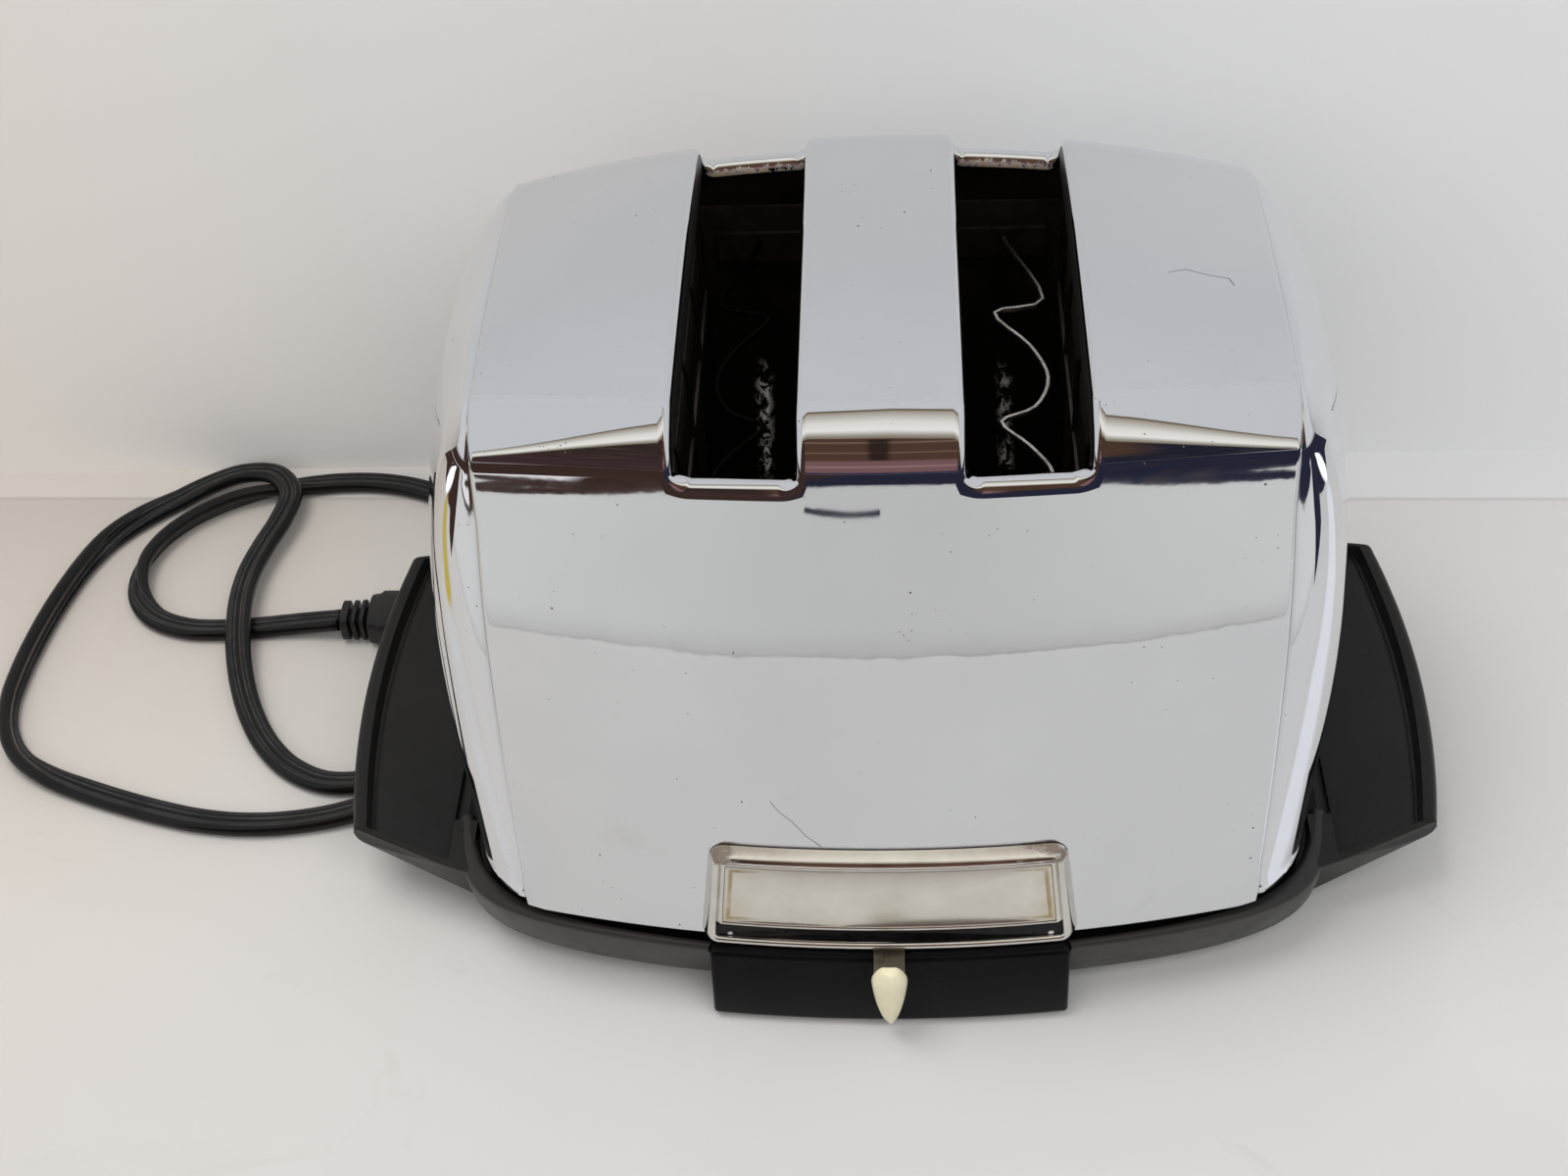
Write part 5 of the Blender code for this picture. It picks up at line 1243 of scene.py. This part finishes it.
def glow(name, colour, strength=1.0):
    mat = bpy.data.materials.new(name)
    mat.use_nodes = True
    tree = mat.node_tree
    tree.nodes.clear()
    out = tree.nodes.new("ShaderNodeOutputMaterial")
    em = tree.nodes.new("ShaderNodeEmission")
    em.inputs["Color"].default_value = (*colour, 1.0)
    em.inputs["Strength"].default_value = strength
    tree.links.new(em.outputs[0], out.inputs[0])
    return mat


WALL_Y = 138.0
stage_mesh("floor", [(-2500, -2500, 0), (2500, -2500, 0), (2500, 2500, 0), (-2500, 2500, 0)], floor_finish())
stage_mesh("wall", [(-2500, WALL_Y, 0), (2500, WALL_Y, 0), (2500, WALL_Y, 560), (-2500, WALL_Y, 560)], wall_finish())


def card_finish():
    """What the polished surfaces see lying on the table, beyond the picture: the table's far part, its curved end,
    the dark beyond it and at both sides, a yellow thing and the light's pools. Elsewhere it is clear."""
    f = Finish("reflected_table")
    xyz = f.node("ShaderNodeSeparateXYZ", {0: f.coords}).outputs
    x, y = f.math("MULTIPLY", xyz["X"], 1000.0), f.math("SUBTRACT", f.math("MULTIPLY", xyz["Y"], 1000.0), FRAME_Y)
    xx = f.math("MULTIPLY", x, x)
    wander = f.range(f.noise(26, 2.0, 0.5), 0.2, 0.8, -3.0, 3.0)
    seam = f.math("SUBTRACT", f.math("SUBTRACT", y, wander), f.math("ADD", f.math("MULTIPLY", xx, 65 / 256 ** 2), -350.0))
    far = f.math("LESS_THAN", seam, 0.0)
    end = f.math("SUBTRACT", y, f.math("ADD", f.math("MULTIPLY", xx, 0.00122), -547.0))
    beyond = f.math("LESS_THAN", end, 0.0)

    def wedge(tip_x, tip_y, up, down, sign, wide):
        run = f.math("SUBTRACT", f.math("MULTIPLY", x, sign), tip_x)
        top = f.math("ADD", f.math("MULTIPLY", run, up), tip_y)
        top = f.math("ADD", top, f.math("MULTIPLY", f.math("GREATER_THAN", run, wide), 400.0))
        low = f.math("ADD", f.math("MULTIPLY", run, -down), tip_y)
        part = f.math("MULTIPLY", f.math("LESS_THAN", y, top), f.math("GREATER_THAN", y, low))
        return f.math("MULTIPLY", f.math("MULTIPLY", part, f.math("GREATER_THAN", run, 0.0)), f.math("LESS_THAN", run, 650.0))

    right_dark = wedge(340.0, -215.0, 0.55, 0.30, 1.0, 128.0)
    left_dark = wedge(400.0, -130.0, 0.65, 0.90, -1.0, 58.0)
    dark = f.math("MAXIMUM", beyond, f.math("MAXIMUM", right_dark, left_dark))

    def pool(a, b, width, power=1.0):
        spot = f.stroke((*a, 0.6), (*b, 0.6), width)
        return spot if power == 1.0 else f.math("POWER", spot, power)

    yellow = pool((-434, -34), (-345, -78), 38)
    left_spot, right_spot = pool((-520, -86), (-470, -4), 21), pool((474, -10), (524, -96), 21)
    soft_right = f.math("MULTIPLY", pool((420, -25), (185, -100), 75, 2.0), 0.75)
    soft_left = f.math("MULTIPLY", pool((-330, -60), (-175, -125), 70, 2.2), 0.42)
    sides = f.range(f.math("ABSOLUTE", x), 60.0, 300.0)
    table = f.mix(sides, (0.655, 0.645, 0.63), (0.755, 0.745, 0.725))
    near_seam = f.range(seam, -34.0, 0.0)
    table = f.mix(f.math("MULTIPLY", f.math("POWER", near_seam, 2.0), 0.30), table, (0.30, 0.28, 0.27))
    table = f.mix(f.math("MULTIPLY", f.range(seam, -2.6, -0.6), 0.30), table, (0.20, 0.18, 0.17))
    streaky = f.noise(60, 5.0, 0.65, coords=f.stretched(0.25, 1, 1))
    night = f.mix(f.range(x, -150.0, -80.0), (0.050, 0.028, 0.022), (0.020, 0.023, 0.045))
    night = f.mix(f.range(streaky, 0.50, 0.75, 0.0, 0.5), night, (0.10, 0.055, 0.04))
    strip = f.math("MULTIPLY", f.inside(end, -44.0, -13.0, 3.0), f.range(x, -285.0, -305.0))
    night = f.mix(f.math("MULTIPLY", strip, f.math("LESS_THAN", end, 0.0)), night, (0.95, 0.92, 0.90))
    colour = f.mix(dark, table, night)
    colour = f.mix(yellow, colour, (0.60, 0.47, 0.085))
    colour = f.mix(f.math("MAXIMUM", left_spot, right_spot), colour, (2.2, 2.15, 2.1))
    soft = f.math("MAXIMUM", soft_right, soft_left)
    free = f.math("SUBTRACT", 1.0, f.math("MAXIMUM", f.math("MAXIMUM", far, dark), f.math("MAXIMUM", yellow, f.math("MAXIMUM", left_spot, right_spot))))
    soft_only = f.math("MULTIPLY", soft, free)
    colour = f.mix(soft_only, colour, (1.05, 1.08, 1.14))
    mask = f.math("MAXIMUM", f.math("SUBTRACT", 1.0, free), soft_only)
    f.tree.nodes.remove(f.shader)
    glow_node = f.node("ShaderNodeEmission", {"Color": colour, "Strength": 1.0}).outputs[0]
    clear = f.node("ShaderNodeBsdfTransparent").outputs[0]
    blend = f.node("ShaderNodeMixShader", {0: mask, 1: clear, 2: glow_node})
    f.feed(f.tree.nodes["Material Output"].inputs["Surface"], blend.outputs[0])
    return f.mat


# only reflections see these two
stage_mesh("card_table", [(-1500, -2400, 0.6), (1500, -2400, 0.6), (1500, WALL_Y - 10, 0.6), (-1500, WALL_Y - 10, 0.6)], card_finish(), camera=False)
pen = [(-75 + 7 * k, -501.5 - 0.0022 * (k * 7 - 35) ** 2, 1.4) for k in range(11)]
stage_mesh("card_pen", pen + [(p[0], p[1] - 7.5, 1.4) for p in pen[::-1]], glow("card_pen", (0.012, 0.012, 0.035)), camera=False)

world = bpy.data.worlds.new("studio")
world.use_nodes = True
bpy.context.scene.world = world


def paint_world():
    """Plain light for matt surfaces; polished ones see a dark room in front, a bright ceiling over it and grey elsewhere."""
    f = Finish("studio", world)
    d = f.node("ShaderNodeSeparateXYZ", {0: f.coords}).outputs
    rise = f.math("MULTIPLY", f.math("ARCTAN2", d["Z"], f.math("MULTIPLY", d["Y"], -1.0)), 180 / math.pi)
    side = f.math("MULTIPLY", f.math("ARCSINE", d["X"]), 180 / math.pi)
    span = f.math("ABSOLUTE", side)
    square = f.math("MULTIPLY", side, side)
    top = f.math("SUBTRACT", 114.8, f.math("ADD", f.math("MULTIPLY", span, 1.65), f.math("MULTIPLY", square, 0.0155)))
    arch_left = f.math("SUBTRACT", 59.3, f.math("MULTIPLY", square, 0.0311))
    arch_right = f.math("SUBTRACT", 59.3, f.math("ADD", f.math("MULTIPLY", side, 0.635), f.math("MULTIPLY", square, 0.024)))
    is_right = f.math("GREATER_THAN", side, 0.0)
    arch = f.node("ShaderNodeMix", {0: is_right, 2: arch_left, 3: arch_right}, data_type="FLOAT").outputs[0]
    streaky = f.noise(70, 5.0, 0.65, coords=f.stretched(0.4, 1, 3))
    centre = f.mix(f.range(rise, -2.5, 0.5), (0.028, 0.034, 0.072), (0.22, 0.115, 0.115))
    centre = f.mix(f.range(rise, 18.0, 22.0), centre, (0.095, 0.050, 0.034))
    lines = f.math("MAXIMUM", f.inside(rise, 50.0, 53.0, 1.0), f.inside(rise, 33.0, 35.0, 1.0))
    centre = f.mix(f.math("MULTIPLY", lines, 0.5), centre, (0.30, 0.21, 0.14))
    bar = f.math("MULTIPLY", f.inside(side, -1.4, 0.2, 0.25), f.inside(rise, 21.0, 57.0, 1.0))
    centre = f.mix(f.math("MULTIPLY", bar, 0.85), centre, (0.022, 0.014, 0.012))
    centre = f.mix(f.math("MULTIPLY", f.inside(rise, 8.0, 11.0, 1.5), 0.6), centre, (0.42, 0.26, 0.26))
    leftward = f.mix(f.range(rise, 6.0, 30.0), (0.052, 0.028, 0.030), (0.040, 0.026, 0.022))
    leftward = f.mix(f.range(streaky, 0.52, 0.66, 0.0, 0.6), leftward, (0.13, 0.08, 0.065))
    rightward = f.mix(f.math("MULTIPLY", f.range(side, 27.0, 22.0), f.range(rise, 4.0, 12.0)), (0.017, 0.019, 0.033), (0.085, 0.046, 0.030))
    rightward = f.mix(f.range(streaky, 0.56, 0.68, 0.0, 0.45), rightward, (0.12, 0.11, 0.12))
    dark = f.mix(f.range(side, -9.0, -11.0), f.mix(f.range(side, 9.0, 11.0), centre, rightward), leftward)
    share = f.math("DIVIDE", f.math("SUBTRACT", rise, arch), f.math("SUBTRACT", top, arch))
    ramp = f.node("ShaderNodeValToRGB", {0: share})
    stops = ramp.color_ramp.elements
    stops[0].position, stops[0].color = 0.0, (0.26, 0.21, 0.155, 1)
    stops[1].position, stops[1].color = 1.0, (0.20, 0.15, 0.10, 1)
    for place, colour in ((0.10, (0.42, 0.38, 0.31)), (0.28, (1.05, 1.02, 0.95)), (0.55, (0.92, 0.89, 0.82)), (0.74, (0.66, 0.62, 0.55)),
                          (0.90, (0.45, 0.40, 0.33)), (0.955, (0.17, 0.125, 0.08))):
        stop = stops.new(place)
        stop.color = (*colour, 1)
    seen = f.mix(f.range(share, -0.02, 0.01), dark, ramp.outputs[0])
    seen = f.mix(f.range(f.math("SUBTRACT", rise, top), -0.4, 0.4), seen, (0.70, 0.705, 0.72))
    ways = f.node("ShaderNodeLightPath").outputs
    colour = f.mix(ways["Is Glossy Ray"], (0.455, 0.463, 0.48), seen)
    back = f.tree.nodes["Background"]
    f.feed(back.inputs["Color"], colour)
    back.inputs["Strength"].default_value = 1.0


paint_world()


def area_light(name, place, target, size, power, colour=(1, 1, 1), glossy=False):
    data = bpy.data.lights.new(name, "AREA")
    data.shape = "RECTANGLE"
    data.size, data.size_y = size
    data.energy = power
    data.color = colour
    lamp = bpy.data.objects.new(name, data)
    bpy.context.scene.collection.objects.link(lamp)
    lamp.location = at(place)
    lamp.rotation_mode = "QUATERNION"
    lamp.rotation_quaternion = (at(target) - at(place)).to_track_quat("-Z", "Y")
    lamp.visible_glossy = glossy
    lamp.visible_camera = False
    return lamp


area_light("overhead", (-430, -60, 1350), (0, -20, 0), (0.75, 0.7), 9.0, (1.0, 0.985, 0.96))
area_light("front_fill", (-500, -1100, 900), (0, 0, 60), (0.9, 0.7), 3.6, (1.0, 0.98, 0.95))
area_light("wall_wash", (500, -700, 1100), (150, WALL_Y, 160), (0.8, 0.6), 5.6, (0.97, 0.985, 1.0))
